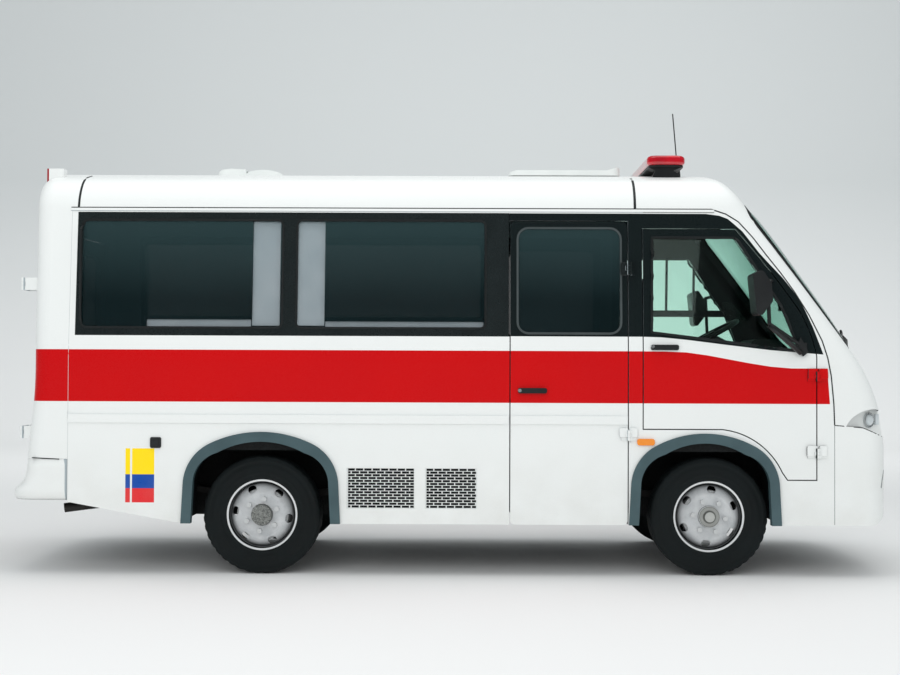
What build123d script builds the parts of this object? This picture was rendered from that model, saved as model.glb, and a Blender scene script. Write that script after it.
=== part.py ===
"""Small bus-bodied ambulance: hollow body panels on a ladder frame, with doors, wheels and steering.

X runs forward, Y to the vehicle's left and Z up from the ground, in millimetres. While the
pieces are made, X = 0 lies midway between the axles; they are written with it midway between
the bumpers.
"""
from build123d import *
import math
import os

RIGHT, LEFT = -1, 1
SIDES = {"right": RIGHT, "left": LEFT}

# Overall sizes
wheelbase = 2850
front_overhang = 1215
rear_overhang = 1650
body_width = 2060
track = 1700
overrun = 400

# Cross-section of the body
skirt_height = 328
belt_height = 1430
gutter_height = 2336
gutter_half = 955
shoulder_half = 773
shoulder_height = 2548
crown_height = 2640
belt_radius = 2000
wall = 45
front_corner_radius = 140
rear_corner_radius = 110
panel_gap = 5

# Doors: an outer lip, and an inner frame set back so that it swings clear
lip_depth = 15
lip_gap = 7
frame_gap = 14

# Front profile: upright bumper, nose arc, straight windscreen, roof arc
front_bulge = 4500
nose_start_height = 800
nose_end_height = 1429
screen_top_height = 2396
screen_rake = 35.4
roof_arc_radius = 620
front_roof_lift = 15

# Rear profile: leaning foot, upright wall, roof corner
rear_bulge = 8000
rear_wall_inset = 136
rear_foot_inset = 75
rear_foot_height = 560
rear_bend_height = 1180
rear_bend_radius = 3000
rear_top_height = 2600
rear_top_radius = 130
rear_roof_lift = 10

# Panel joints seen from the side
rear_seam = 2650
roof_front_seam = 973
bumper_seam = 2205
bumper_top = 963
rear_bumper_top = 730

# Axles and wheels
tyre_radius = 375
tyre_width = 215
rim_radius = 222

half_width = body_width / 2
front_axle = wheelbase / 2
rear_axle = -wheelbase / 2
front_end = front_axle + front_overhang
rear_end = rear_axle - rear_overhang
axle_height = tyre_radius

parts = {}


def keep(name, shape):
    parts[name] = shape


def group(shapes):
    """Several separate solids as one piece."""
    return Compound([solid for shape in shapes for solid in shape.solids()])


def block(x, y, z):
    """A box between a low and a high value on each axis."""
    size = [high - low for low, high in (x, y, z)]
    centre = [(high + low) / 2 for low, high in (x, y, z)]
    return Pos(*centre) * Box(*size)


def side_prism(face, y):
    """A side-view face (X, Z) made solid between two values of Y."""
    low, high = y
    plane = Plane((0, high, 0), x_dir=(1, 0, 0), z_dir=(0, -1, 0))
    return extrude(plane * face, high - low)


def cross_prism(face, x):
    """A cross-section face (Y, Z) made solid between two values of X."""
    low, high = x
    plane = Plane((low, 0, 0), x_dir=(0, 1, 0), z_dir=(1, 0, 0))
    return extrude(plane * face, high - low)


def plan_prism(face, z):
    """A plan face (X, Y) made solid between two heights."""
    low, high = z
    return extrude(Plane((0, 0, low)) * face, high - low)


def rectangle(x, z):
    """A face between a low and a high value on each of its two axes."""
    centre = Pos((x[0] + x[1]) / 2, (z[0] + z[1]) / 2)
    return centre * Rectangle(x[1] - x[0], z[1] - z[0])


def rounded_rectangle(x, z, radius):
    centre = Pos((x[0] + x[1]) / 2, (z[0] + z[1]) / 2)
    return centre * RectangleRounded(x[1] - x[0], z[1] - z[0], radius)


def rod(start, end, radius):
    axis = Vector(*end) - Vector(*start)
    plane = Plane(origin=start, z_dir=axis)
    return plane * Cylinder(radius, axis.length, align=(Align.CENTER, Align.CENTER, Align.MIN))


def pipe(points, radius):
    """Straight runs of tube with a ball at each bend."""
    shape = rod(points[0], points[1], radius)
    for start, end in zip(points[1:], points[2:]):
        shape += rod(start, end, radius) + Pos(*start) * Sphere(radius)
    return shape


def turned(profile):
    """A face of (radius, axial) points turned about the Y axis."""
    return revolve(profile, axis=Axis.Y, revolution_arc=360)


def outward(side):
    """The range of Y that holds one side of the vehicle."""
    reach = half_width + overrun
    return (-reach, 0) if side == RIGHT else (0, reach)


# Body form


def section_face(inset, bottom):
    """The body's cross-section: upright below the belt, leaning in above it, crowned on top."""
    half = half_width - inset
    lean = math.atan2(half_width - gutter_half, gutter_height - belt_height)
    crown_drop = crown_height - shoulder_height
    crown_slope = 2 * math.atan2(crown_drop, shoulder_half)
    gutter_y = gutter_half - inset * math.cos(lean)
    gutter_z = gutter_height - inset * math.sin(lean)
    shoulder_y = shoulder_half - inset * math.sin(crown_slope)
    shoulder_z = shoulder_height - inset * math.cos(crown_slope)
    belt_z = gutter_z - (half - gutter_y) / math.tan(lean)
    edges = [Line((-half, bottom), (half, bottom))]
    for side in (RIGHT, LEFT):
        belt = (side * half, belt_z)
        gutter = (side * gutter_y, gutter_z)
        shoulder = (side * shoulder_y, shoulder_z)
        edges += [
            Line((side * half, bottom), belt),
            Line(belt, gutter),
            TangentArc(gutter, shoulder, tangent=(gutter[0] - belt[0], gutter[1] - belt[1])),
        ]
    ends = [(-shoulder_y, shoulder_z), (shoulder_y, shoulder_z)]
    edges.append(ThreePointArc(ends[0], (0, crown_height - inset), ends[1]))
    face = make_face(edges)
    belts = [v for v in face.vertices() if abs(v.Y - belt_z) < wall]
    return fillet(belts, belt_radius - inset)


def arc_point(start, radius, first, last):
    """The point an arc reaches from start, turning left from one heading to another."""
    across = radius * (math.cos(math.radians(first)) - math.cos(math.radians(last)))
    up = radius * (math.sin(math.radians(last)) - math.sin(math.radians(first)))
    return (start[0] - across, start[1] + up)


def front_face(inset, bottom):
    """Side profile of the front on the centreline, from the bulge's axis forward."""
    axis = front_end - front_bulge
    foot = (front_end - inset, bottom)
    brow = (front_end - inset, nose_start_height)
    full_nose = (nose_end_height - nose_start_height) / math.sin(math.radians(screen_rake))
    screen_length = (screen_top_height - nose_end_height) / math.cos(math.radians(screen_rake))
    nose_radius = full_nose - inset
    nose_mid = arc_point(brow, nose_radius, 0, screen_rake / 2)
    nose_end = arc_point(brow, nose_radius, 0, screen_rake)
    slope = math.radians(screen_rake)
    top = (nose_end[0] - screen_length * math.sin(slope), nose_end[1] + screen_length * math.cos(slope))
    last = 90 - front_roof_lift
    roof_radius = roof_arc_radius - inset
    roof_mid = arc_point(top, roof_radius, screen_rake, (screen_rake + last) / 2)
    roof_end = arc_point(top, roof_radius, screen_rake, last)
    rise = overrun * math.tan(math.radians(front_roof_lift))
    crest = (roof_end[0] - overrun, roof_end[1] + rise)
    edges = [
        Line((axis, bottom), foot),
        Line(foot, brow),
        ThreePointArc(brow, nose_mid, nose_end),
        Line(nose_end, top),
        ThreePointArc(top, roof_mid, roof_end),
        Line(roof_end, crest),
        Line(crest, (axis, crest[1])),
        Line((axis, crest[1]), (axis, bottom)),
    ]
    return make_face(edges)


def rear_face(inset, bottom):
    """Side profile of the rear on the centreline, from its bulge's axis back."""
    axis = rear_end + rear_bulge
    back = rear_end + rear_wall_inset
    lean = (rear_wall_inset - rear_foot_inset) / (rear_bend_height - rear_foot_height)
    foot = rear_end + rear_foot_inset - lean * (rear_foot_height - bottom)
    rise = overrun * math.tan(math.radians(rear_roof_lift))
    outline = [
        (axis, bottom),
        (foot + inset, bottom),
        (back + inset, rear_bend_height),
        (back + inset, rear_top_height - inset),
        (back + inset + overrun, rear_top_height - inset + rise),
        (axis, rear_top_height - inset + rise),
    ]
    face = make_face(Polyline(*outline, close=True))
    bend = [v for v in face.vertices() if abs(v.Y - rear_bend_height) < wall]
    face = fillet(bend, rear_bend_radius)
    corner = [
        v
        for v in face.vertices()
        if abs(v.Y - rear_top_height + inset) < panel_gap and v.X < back + inset + panel_gap
    ]
    return fillet(corner, rear_top_radius - inset)


def turned_about(face, x):
    """A side profile turned about an upright axis, so that it bulges in plan."""
    axis = Axis((x, 0, 0), (0, 0, 1))
    return revolve(Plane.XZ * face, axis=axis, revolution_arc=360).rotate(axis, 180)


def body_form(inset):
    """The closed outer form of the whole body, drawn in by an inset."""
    bottom = skirt_height - overrun / 2
    length = (rear_end - overrun, front_end + overrun)
    form = cross_prism(section_face(inset, bottom - inset), length)
    form &= turned_about(front_face(inset, bottom - 2 * inset), front_end - front_bulge)
    form &= turned_about(rear_face(inset, bottom - 2 * inset), rear_end + rear_bulge)
    turns = [e for e in form.edges() if e.bounding_box().size.Z > wall / 3]
    front = [e for e in turns if e.center().X > roof_front_seam]
    form = fillet(front, front_corner_radius - inset)
    turns = [e for e in form.edges() if e.bounding_box().size.Z > wall / 3]
    rear = [e for e in turns if e.center().X < -rear_seam]
    return fillet(rear, rear_corner_radius - inset)


body = body_form(0)
cavity = body_form(wall)
shell = body - cavity
lip = body - body_form(lip_depth)


def wall_panel(face, side):
    """The part of one side wall that lies inside a side-view outline."""
    return shell & side_prism(face, outward(side))


# Wheel arches: the trim's outer outline is cut out of the side wall

# Middle and half width at the foot of the arch over each axle
arch_places = {front_axle: (1388, 484), rear_axle: (-1424, 507)}
arch_lean = 15
arch_shoulder_height = 571
arch_bend_in = 64
arch_bend_height = 729
arch_knee_in = 188
arch_knee_height = 836
arch_crown_height = 908
arch_trim_width = 62
arch_trim_proud = 18


def arch_face(axle, inset):
    """A wheel arch outline, open to below the skirt."""
    middle, foot = arch_places[axle]
    bottom = skirt_height - wall
    half = foot - inset
    shoulder = (half - arch_lean, arch_shoulder_height)
    bend = (half - arch_bend_in, arch_bend_height - inset / 3)
    knee = (half - arch_knee_in + inset / 3, arch_knee_height - inset)
    edges = [
        Line((-half, bottom), (half, bottom)),
        Line((half, bottom), shoulder),
        ThreePointArc(shoulder, bend, knee),
        ThreePointArc(knee, (0, arch_crown_height - inset), (-knee[0], knee[1])),
        ThreePointArc((-knee[0], knee[1]), (-bend[0], bend[1]), (-shoulder[0], shoulder[1])),
        Line((-shoulder[0], shoulder[1]), (-half, bottom)),
    ]
    return Pos(middle, 0) * make_face(edges)


def arch_trim(axle, side):
    face = arch_face(axle, 0) - arch_face(axle, arch_trim_width)
    face -= rectangle((axle - overrun * 2, axle + overrun * 2), (0, skirt_height))
    inner = half_width - wall
    outer = half_width + arch_trim_proud
    limits = (inner, outer) if side == LEFT else (-outer, -inner)
    return side_prism(face, limits)


# Side doors and windows, seen from the side

side_door_rear = 149
side_door_front = 905
side_door_top = 2260
door_corner_radius = 30

front_door_rear = 992
front_door_top = 2213
front_door_shoulder = 930
front_door_bottom = 612
front_door_front = 2096

band_bottom = 1517
band_top = 2308
band_rear = 2612

window_bottom = 1568
window_top = 2257
window_radius = 35
glass_gap = 0.3
glass_depth = 4
glass_thickness = 8
# Rear and front edge of each side window
window_columns = [(-2577, -1297), (-1207, -4)]
blind_column = (200, 858)
door_glass_bottom = 1538
door_glass_top = 2212
door_glass_radius = 70


# Front door outline: under the gutter, down the pillar, and round the wheel arch
door_head_end = (1590, front_door_top)
door_pillar_upper = (1800, 1955)
door_pillar_mid = (1985, 1700)
door_pillar_lower = (2052, 1560)
door_pillar_foot = (front_door_front, 1400)
door_toe = (1906, front_door_bottom)
door_arch_end = (1872, 661)
door_arch_mid = (1735, 834)
door_arch_start = (1495, front_door_shoulder)
# Front door glass, from its lower rear corner round
front_glass_points = [(1051, 1547), (1057, 2153), (1580, 2153), (1880, 1700), (1985, 1432)]


def front_door_face(gap):
    """Outline of the front door: it follows the windscreen pillar and clears the wheel arch."""
    outline = [
        Line((front_door_rear, front_door_shoulder), (front_door_rear, front_door_top)),
        Line((front_door_rear, front_door_top), door_head_end),
        ThreePointArc(door_head_end, door_pillar_upper, door_pillar_mid),
        ThreePointArc(door_pillar_mid, door_pillar_lower, door_pillar_foot),
        Line(door_pillar_foot, (front_door_front, front_door_bottom)),
        Line((front_door_front, front_door_bottom), door_toe),
        Line(door_toe, door_arch_end),
        ThreePointArc(door_arch_end, door_arch_mid, door_arch_start),
        Line(door_arch_start, (front_door_rear, front_door_shoulder)),
    ]
    face = make_face(outline)
    return offset(face, -gap, kind=Kind.INTERSECTION) if gap else face


def front_glass_face(gap):
    face = make_face(Polyline(*front_glass_points, close=True))
    face = fillet(face.vertices(), window_radius)
    return offset(face, -gap, kind=Kind.INTERSECTION) if gap else face


def side_door_face(gap):
    x = (side_door_rear + gap, side_door_front - gap)
    return rounded_rectangle(x, (skirt_height, side_door_top - gap), door_corner_radius)


def side_glass_face(gap):
    x = (blind_column[0] + gap, blind_column[1] - gap)
    z = (door_glass_bottom + gap, door_glass_top - gap)
    return rounded_rectangle(x, z, door_glass_radius)


def window_face(column, gap):
    x = (column[0] + gap, column[1] - gap)
    return rounded_rectangle(x, (window_bottom + gap, window_top - gap), window_radius)


# Thin glass follows the wall a few millimetres behind its outer face
glass_sheet = body_form(glass_depth) - body_form(glass_depth + glass_thickness)


def glass(face, side):
    return glass_sheet & side_prism(face, outward(side))


side_door_opening = rectangle(
    (side_door_rear, side_door_front), (skirt_height - overrun, side_door_top)
)

# Front cap outline: gutter, windscreen pillar line and bumper line
pillar_top = (1440, gutter_height)
pillar_bend = (1609, 2257)
pillar_upper = (1784, 2045)
pillar_mid = (1958, 1812)
pillar_belt = (2128, 1497)
pillar_low = (2184, 1275)
pillar_foot = (bumper_seam, bumper_top)
bumper_line = [(2385, 948), (2545, 880)]


def pillar_edges():
    return [
        ThreePointArc(pillar_top, pillar_bend, pillar_upper),
        ThreePointArc(pillar_upper, pillar_mid, pillar_belt),
        ThreePointArc(pillar_belt, pillar_low, pillar_foot),
    ]


def cap_face():
    """Everything ahead of the pillar line and above the bumper line."""
    far = front_end + overrun
    high = crown_height + overrun
    edge_height = bumper_line[1][1] - (bumper_line[0][1] - bumper_line[1][1])
    edges = [
        Line((roof_front_seam, high), (roof_front_seam, gutter_height)),
        Line((roof_front_seam, gutter_height), pillar_top),
        *pillar_edges(),
        Line(pillar_foot, bumper_line[0]),
        Line(bumper_line[0], bumper_line[1]),
        Line(bumper_line[1], (far, edge_height)),
        Line((far, edge_height), (far, high)),
        Line((far, high), (roof_front_seam, high)),
    ]
    return make_face(edges)


def bumper_face():
    far = front_end + overrun
    edge_height = bumper_line[1][1] - (bumper_line[0][1] - bumper_line[1][1])
    outline = [
        (bumper_seam, 0),
        pillar_foot,
        bumper_line[0],
        bumper_line[1],
        (far, edge_height),
        (far, 0),
    ]
    return make_face(Polyline(*outline, close=True))


def cab_face():
    """The cab's side between the side door and the pillar line."""
    edges = [
        Line((side_door_front, 0), (side_door_front, gutter_height)),
        Line((side_door_front, gutter_height), pillar_top),
        *pillar_edges(),
        Line(pillar_foot, (bumper_seam, 0)),
        Line((bumper_seam, 0), (side_door_front, 0)),
    ]
    return make_face(edges)


# The underside rises behind the rear wheels and under the nose
overhang_start = 1930
overhang_end = 2632
overhang_height = 457

skirt_cut = make_face(
    Polyline(
        (front_end + overrun, 0),
        (front_end + overrun, skirt_height),
        (-overhang_start, skirt_height),
        (-overhang_end, overhang_height),
        (rear_end - overrun, overhang_height),
        (rear_end - overrun, 0),
        close=True,
    )
)
reach = (-half_width - overrun, half_width + overrun)
shell -= side_prism(skirt_cut, reach)

# Rub rail along each side
rail_z = (962, 1016)
rail_proud = 7


def rub_rail(x, side):
    return block(x, sorted((side * (half_width - lip_depth), side * (half_width + rail_proud))), rail_z) - body


# Vents low on the right side
vent_columns = [(-878, -447), (-381, -53)]
vent_rows = (427, 682)

panel_face = rectangle((-rear_seam, side_door_front), (0, gutter_height))
cut_all = {
    side: side_prism(arch_face(rear_axle, 0), outward(side)) for side in (RIGHT, LEFT)
}

right_panel = wall_panel(panel_face, RIGHT) - cut_all[RIGHT]
right_panel -= side_prism(side_door_opening, outward(RIGHT))
right_panel -= side_prism(rectangle((-band_rear, side_door_rear), (band_bottom, band_top)), outward(RIGHT))
for column in vent_columns:
    right_panel -= side_prism(rectangle(column, vent_rows), outward(RIGHT))
right_panel += rub_rail((-rear_seam, side_door_rear - panel_gap), RIGHT)
keep("side_panel_right", right_panel)

left_panel = wall_panel(panel_face, LEFT) - cut_all[LEFT]
left_panel -= side_prism(rectangle((-band_rear, side_door_front), (band_bottom, band_top)), outward(LEFT))
left_panel += rub_rail((-rear_seam, side_door_front), LEFT)
keep("side_panel_left", left_panel)

# Black glazed frames that fill the window bands
frames = []
panes = []
for side, front in ((RIGHT, side_door_rear - panel_gap), (LEFT, side_door_front)):
    frame = wall_panel(rectangle((-band_rear, front), (band_bottom, band_top)), side)
    for column in window_columns:
        frame -= side_prism(window_face(column, 0), outward(side))
        panes.append(glass(window_face(column, glass_gap), side))
    if side == LEFT:
        frame -= side_prism(side_glass_face(0), outward(side))
        panes.append(glass(side_glass_face(glass_gap), side))
    frames.append(frame)
keep("window_frames", group(frames))

# Cab sides: the right one frames the door, the left one holds the driver's window
cab_right = wall_panel(cab_face(), RIGHT)
cab_right -= side_prism(arch_face(front_axle, 0), outward(RIGHT))
cab_right -= side_prism(front_door_face(0), outward(RIGHT))
keep("cab_side_right", cab_right)

# Bars of the driver's window: one level bar, and two uprights above it
sill_bar_z = (1712, 1762)
upright_bar_x = (1418, 1626)
upright_bar_width = 18
bar_right = front_door_front
driver_bars = rectangle((front_door_rear, bar_right), sill_bar_z)
for x in upright_bar_x:
    limits = (x - upright_bar_width / 2, x + upright_bar_width / 2)
    driver_bars += rectangle(limits, (sill_bar_z[1], front_door_top))
driver_panes = front_glass_face(0) - driver_bars
bar_depth = body_form(glass_depth / 2) - body_form(wall / 2)
cab_left = wall_panel(cab_face(), LEFT)
cab_left -= side_prism(arch_face(front_axle, 0), outward(LEFT))
cab_left -= side_prism(front_glass_face(0), outward(LEFT))
cab_left += bar_depth & side_prism(front_glass_face(0) & driver_bars, outward(LEFT))
keep("cab_side_left", cab_left)
for pane in driver_panes.faces():
    panes.append(glass(offset(pane, -glass_gap, kind=Kind.INTERSECTION), LEFT))
keep("side_windows", group(panes))

# Roof between its two cross joints
high = crown_height + overrun
roof = shell & side_prism(rectangle((-rear_seam, roof_front_seam), (gutter_height, high)), reach)
keep("roof_panel", roof)

# Front cap and windscreen
screen_half = 905
screen_bottom = 1452
screen_top = 2368
screen_radius = 110
screen_face = rounded_rectangle((-screen_half, screen_half), (screen_bottom, screen_top), screen_radius)


def screen_cut(gap):
    """The windscreen's outline seen from the front."""
    face = offset(screen_face, -gap) if gap else screen_face
    return cross_prism(face, (front_axle, front_end + overrun))


front_cap = shell & side_prism(cap_face(), reach)
front_cap -= screen_cut(0)
keep("front_panel", front_cap)
keep("windscreen", glass_sheet & screen_cut(glass_gap))
keep("front_bumper", shell & side_prism(bumper_face(), reach))

# Rear cap with its door opening
rear_door_half = 820
rear_door_bottom = 745
rear_door_top = 2250
rear_door_radius = 40
rear_window_bottom = 1568
rear_window_top = 2130
rear_window_inner = 90
rear_window_outer = 700

rear_slice = rectangle((rear_end - overrun, -rear_seam), (rear_bumper_top, high))
rear_cap = shell & side_prism(rear_slice, reach)
rear_opening = rounded_rectangle(
    (-rear_door_half, rear_door_half), (rear_door_bottom, rear_door_top), rear_door_radius
)
rear_zone = (rear_end - overrun, -rear_seam)
rear_cap -= cross_prism(rear_opening, rear_zone)
keep("rear_frame", rear_cap)

for name, side in SIDES.items():
    y = (0, side * rear_door_half)
    window_y = sorted((side * rear_window_inner, side * rear_window_outer))
    leaf_face = rounded_rectangle(sorted(y), (rear_door_bottom, rear_door_top), rear_door_radius)
    window = rounded_rectangle(window_y, (rear_window_bottom, rear_window_top), door_glass_radius)
    leaf = lip & cross_prism(offset(leaf_face, -lip_gap, kind=Kind.INTERSECTION), rear_zone)
    leaf += shell & cross_prism(offset(leaf_face, -frame_gap, kind=Kind.INTERSECTION), rear_zone)
    keep(f"rear_door_{name}", leaf - cross_prism(window, rear_zone))
    pane = offset(window, -glass_gap)
    keep(f"rear_glass_{name}", glass_sheet & cross_prism(pane, rear_zone))

# Doors on the right side
side_door = lip & side_prism(side_door_face(lip_gap), outward(RIGHT))
side_door += wall_panel(side_door_face(frame_gap), RIGHT)
side_door -= side_prism(side_glass_face(0), outward(RIGHT))
side_door += rub_rail((side_door_rear + lip_gap, side_door_front - lip_gap), RIGHT)
keep("side_door", side_door)
keep("side_door_glass", glass(side_glass_face(glass_gap), RIGHT))
front_door = lip & side_prism(front_door_face(lip_gap), outward(RIGHT))
front_door += wall_panel(front_door_face(frame_gap), RIGHT)
front_door -= side_prism(front_glass_face(0), outward(RIGHT))
keep("front_door", front_door)
keep("front_door_glass", glass(front_glass_face(glass_gap), RIGHT))

# Rear bumper: flared, round-cornered and hollow, open at the front
rear_bumper_radius = 170
rear_bumper_bottom = 478
rear_bumper_knee = 525
bumper_tuck = 15
bumper_wall = 38


def rear_bumper_form(inset):
    """The rear bumper's form; the inner one runs out below, so that the bumper is open there."""
    front = -rear_seam
    side_view = Polyline(
        (front + inset, overhang_height - inset),
        (front + inset, rear_bumper_top),
        (rear_end + rear_foot_inset + inset, rear_bumper_top),
        (rear_end + inset, rear_bumper_knee),
        (rear_end + inset + bumper_tuck, rear_bumper_bottom - inset),
        (front - wall, overhang_height - inset),
        close=True,
    )
    half = half_width - inset
    sag = half**2 / (2 * rear_bulge)
    back = rear_end + inset
    edges = [
        Line((front + inset, -half), (front + inset, half)),
        Line((front + inset, half), (back + sag, half)),
        ThreePointArc((back + sag, half), (back, 0), (back + sag, -half)),
        Line((back + sag, -half), (front + inset, -half)),
    ]
    plan = make_face(edges)
    corners = [v for v in plan.vertices() if v.X < front - wall]
    plan = fillet(corners, rear_bumper_radius - inset)
    form = side_prism(make_face(side_view), reach)
    return form & plan_prism(plan, (0, high))


rear_bumper = rear_bumper_form(0) - rear_bumper_form(bumper_wall)
keep("rear_bumper", rear_bumper)

trims = [arch_trim(axle, side) for axle in (front_axle, rear_axle) for side in (RIGHT, LEFT)]
keep("arch_trims", group(trims))

# Floor, bearers, step well and engine hump
floor_top = 830
floor_thickness = 40
rail_top = 680
bearer_width = 60
bearer_positions = [-2400, -1950, -900, -300, 60, 940, 1950]
well_depth = 420
well_treads = [(420, 0), (625, 205)]
tread_thickness = 20
hump_half = 340
hump_rear = 1480
hump_height = 260
seat_clearance = 0.3

floor_half = half_width - wall
floor_front = 2250
floor_bottom = floor_top - floor_thickness
bearer_height = floor_bottom - rail_top
inner_door_face = half_width - wall - panel_gap

well = (side_door_rear + panel_gap, side_door_front - panel_gap)
well_cut = block(well, (-floor_half, well_depth - floor_half), (rail_top, floor_top))
door_cut = block(
    (front_door_rear, front_door_front), (-floor_half, -inner_door_face), (rail_top, floor_top)
)
hump_bay = (hump_rear + floor_thickness, floor_front)
hump_span = (floor_thickness - hump_half, hump_half - floor_thickness)
hump_cut = block(hump_bay, hump_span, (rail_top, floor_top))
slab = block((-rear_seam, floor_front), (-floor_half, floor_half), (floor_bottom, floor_top))
floor_parts = [slab - well_cut - door_cut - hump_cut]
for x in bearer_positions:
    bearer = block(
        (x - bearer_width / 2, x + bearer_width / 2), (-floor_half, floor_half), (rail_top, floor_bottom)
    )
    floor_parts.append(bearer - well_cut - door_cut - hump_cut)
well_floor = min(height for height, _ in well_treads) - tread_thickness
step_well = block(
    (well[0], well[0] + tread_thickness), (-inner_door_face, well_depth - floor_half), (well_floor, floor_top)
)
step_well += block(
    (well[1] - tread_thickness, well[1]), (-inner_door_face, well_depth - floor_half), (well_floor, floor_top)
)
levels = [(height, setback) for height, setback in well_treads] + [(floor_top, well_depth - panel_gap)]
for (height, setback), (above, behind) in zip(levels, levels[1:]):
    start = setback - inner_door_face
    end = behind - inner_door_face
    step_well += block(well, (start, end), (height - tread_thickness, height))
    step_well += block(well, (end - tread_thickness, end), (height - tread_thickness, above))
floor_parts.append(step_well)
hump = block((hump_rear, floor_front), (-hump_half, hump_half), (floor_top, floor_top + hump_height))
hump -= block(hump_bay, hump_span, (floor_top, floor_top + hump_height - floor_thickness))
floor_parts.append(hump)

# Ladder frame: two channel rails and cross members, with jacking pads and towing eyes
rail_half = 432
rail_flange = 65
rail_bottom = 500
rail_web = 8
frame_rear = -2850
frame_front = 2480
cross_positions = [-2800, -2080, -1000, -100, 800, 1330, 2380]
cross_width = 60
cross_drop = 80
eye_radius = 20
eye_boss_radius = 42
eye_width = 60
eye_shank = 18
jack_distance = 800
pad_length = 160
pad_thickness = 12

rails = []
for side in (RIGHT, LEFT):
    outer = side * rail_half
    web = sorted((outer, outer - side * rail_web))
    flange = sorted((outer, outer - side * rail_flange))
    rail = block((frame_rear, frame_front), web, (rail_bottom, rail_top))
    rail += block((frame_rear, frame_front), flange, (rail_top - rail_web, rail_top))
    rail += block((frame_rear, frame_front), flange, (rail_bottom, rail_bottom + rail_web))
    for x in (rear_axle + jack_distance, front_axle - jack_distance):
        pad = (x - pad_length / 2, x + pad_length / 2)
        rail += block(pad, flange, (rail_bottom - pad_thickness, rail_bottom))
    rails.append(rail)
inside = rail_half - rail_web
ladder = list(rails)
for x in cross_positions:
    cross = block(
        (x - cross_width / 2, x + cross_width / 2), (-inside, inside), (rail_top - cross_drop, rail_top - rail_web)
    )
    ladder.append(cross)
for x, side in ((frame_front, RIGHT), (frame_rear, LEFT)):
    ahead = 1 if x > 0 else -1
    centre = (x + ahead * eye_boss_radius, side * (rail_half - rail_flange / 2))
    eye_z = ((rail_top + rail_bottom - eye_width) / 2, (rail_top + rail_bottom + eye_width) / 2)
    eye = rod((*centre, eye_z[0]), (*centre, eye_z[1]), eye_boss_radius)
    shank_y = sorted((side * (rail_half - rail_flange), side * inside))
    eye += block(sorted((centre[0], x - ahead * eye_shank)), shank_y, eye_z)
    ladder.append(eye - rod((*centre, eye_z[0]), (*centre, eye_z[1]), eye_radius))
keep("chassis_frame", group(ladder))

# Engine, gearbox and propeller shaft
engine_x = (1620, 2200)
engine_half = 260
engine_z = (560, 1020)
gearbox_x = (1120, 1620)
gearbox_half = 150
gearbox_z = (440, 590)
shaft_radius = 40
shaft_gap = 8
banjo_radius = 165
mount_width = 40

engine = block(engine_x, (-engine_half, engine_half), engine_z)
engine += block(gearbox_x, (-gearbox_half, gearbox_half), gearbox_z)
engine_mount_x = (engine_x[0] + mount_width, engine_x[0] + 2 * mount_width)
engine += block(
    engine_mount_x, (-inside, inside), (engine_z[0], engine_z[0] + mount_width)
)
gearbox_axis = (gearbox_z[0] + gearbox_z[1]) / 2
shaft_front = (gearbox_x[0], 0, gearbox_axis)
shaft_rear = (rear_axle + banjo_radius - mount_width / 2 + shaft_gap, 0, axle_height)
keep("engine", engine + rod(shaft_front, shaft_rear, shaft_radius))

# Wheels: an open tyre, a pressed disc with hand holes and a hub with its drum
tread_inset = 20
shoulder_drop = 18
bead_inset = 26
bead_gap = 3
tyre_wall = 14
rim_flange = 235
rim_half = 88
rim_thickness = 8
rim_well_radius = 198
disc_face = 92
disc_thickness = 12
disc_root = 30
hub_flange_radius = 132
nut_circle = 102.5
nut_radius = 15
nut_length = 26
nut_count = 6
# Degrees by which the wheels at each end stand turned
wheel_turns = {True: -24, False: 8}
hand_hole_circle = 172
hand_hole_size = (57, 44)
front_cap_radius = 36
front_cap_length = 44
front_ring_radius = 68
front_ring_length = 24
rear_cap_radius = 64
rear_cap_length = 40
hub_body_radius = 70
hub_reach = 56
drum_radius = 165
drum_wall = 14
drum_reach = 72
spindle_radius = 32
spindle_end = 60
bearing_gap = 0.4


def tyre():
    half = tyre_width / 2
    tread_half = half - tread_inset
    shoulder = tyre_radius - shoulder_drop
    bulge = (tyre_radius + rim_radius) / 2
    bead = half - bead_inset
    lip = tyre_wall
    seat = (rim_flange + bead_gap, rim_half - bead_gap / 2)
    wall_outer = [
        Line((tyre_radius, -tread_half), (tyre_radius, tread_half)),
    ]
    for s in (1, -1):
        wall_outer += [
            ThreePointArc(
                (tyre_radius, s * tread_half),
                (tyre_radius - shoulder_drop / 4, s * (half - tread_inset / 2)),
                (shoulder, s * (half - bead_gap)),
            ),
            ThreePointArc((shoulder, s * (half - bead_gap)), (bulge, s * half), (seat[0], s * seat[1])),
            Line((seat[0], s * seat[1]), (rim_radius, s * bead)),
            Line((rim_radius, s * bead), (rim_radius, s * (bead - lip))),
            ThreePointArc(
                (rim_radius, s * (bead - lip)),
                (bulge, s * (half - lip)),
                (shoulder, s * tread_half),
            ),
        ]
    wall_outer.append(Line((shoulder, tread_half), (shoulder, -tread_half)))
    return turned(make_face(wall_outer))


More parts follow.
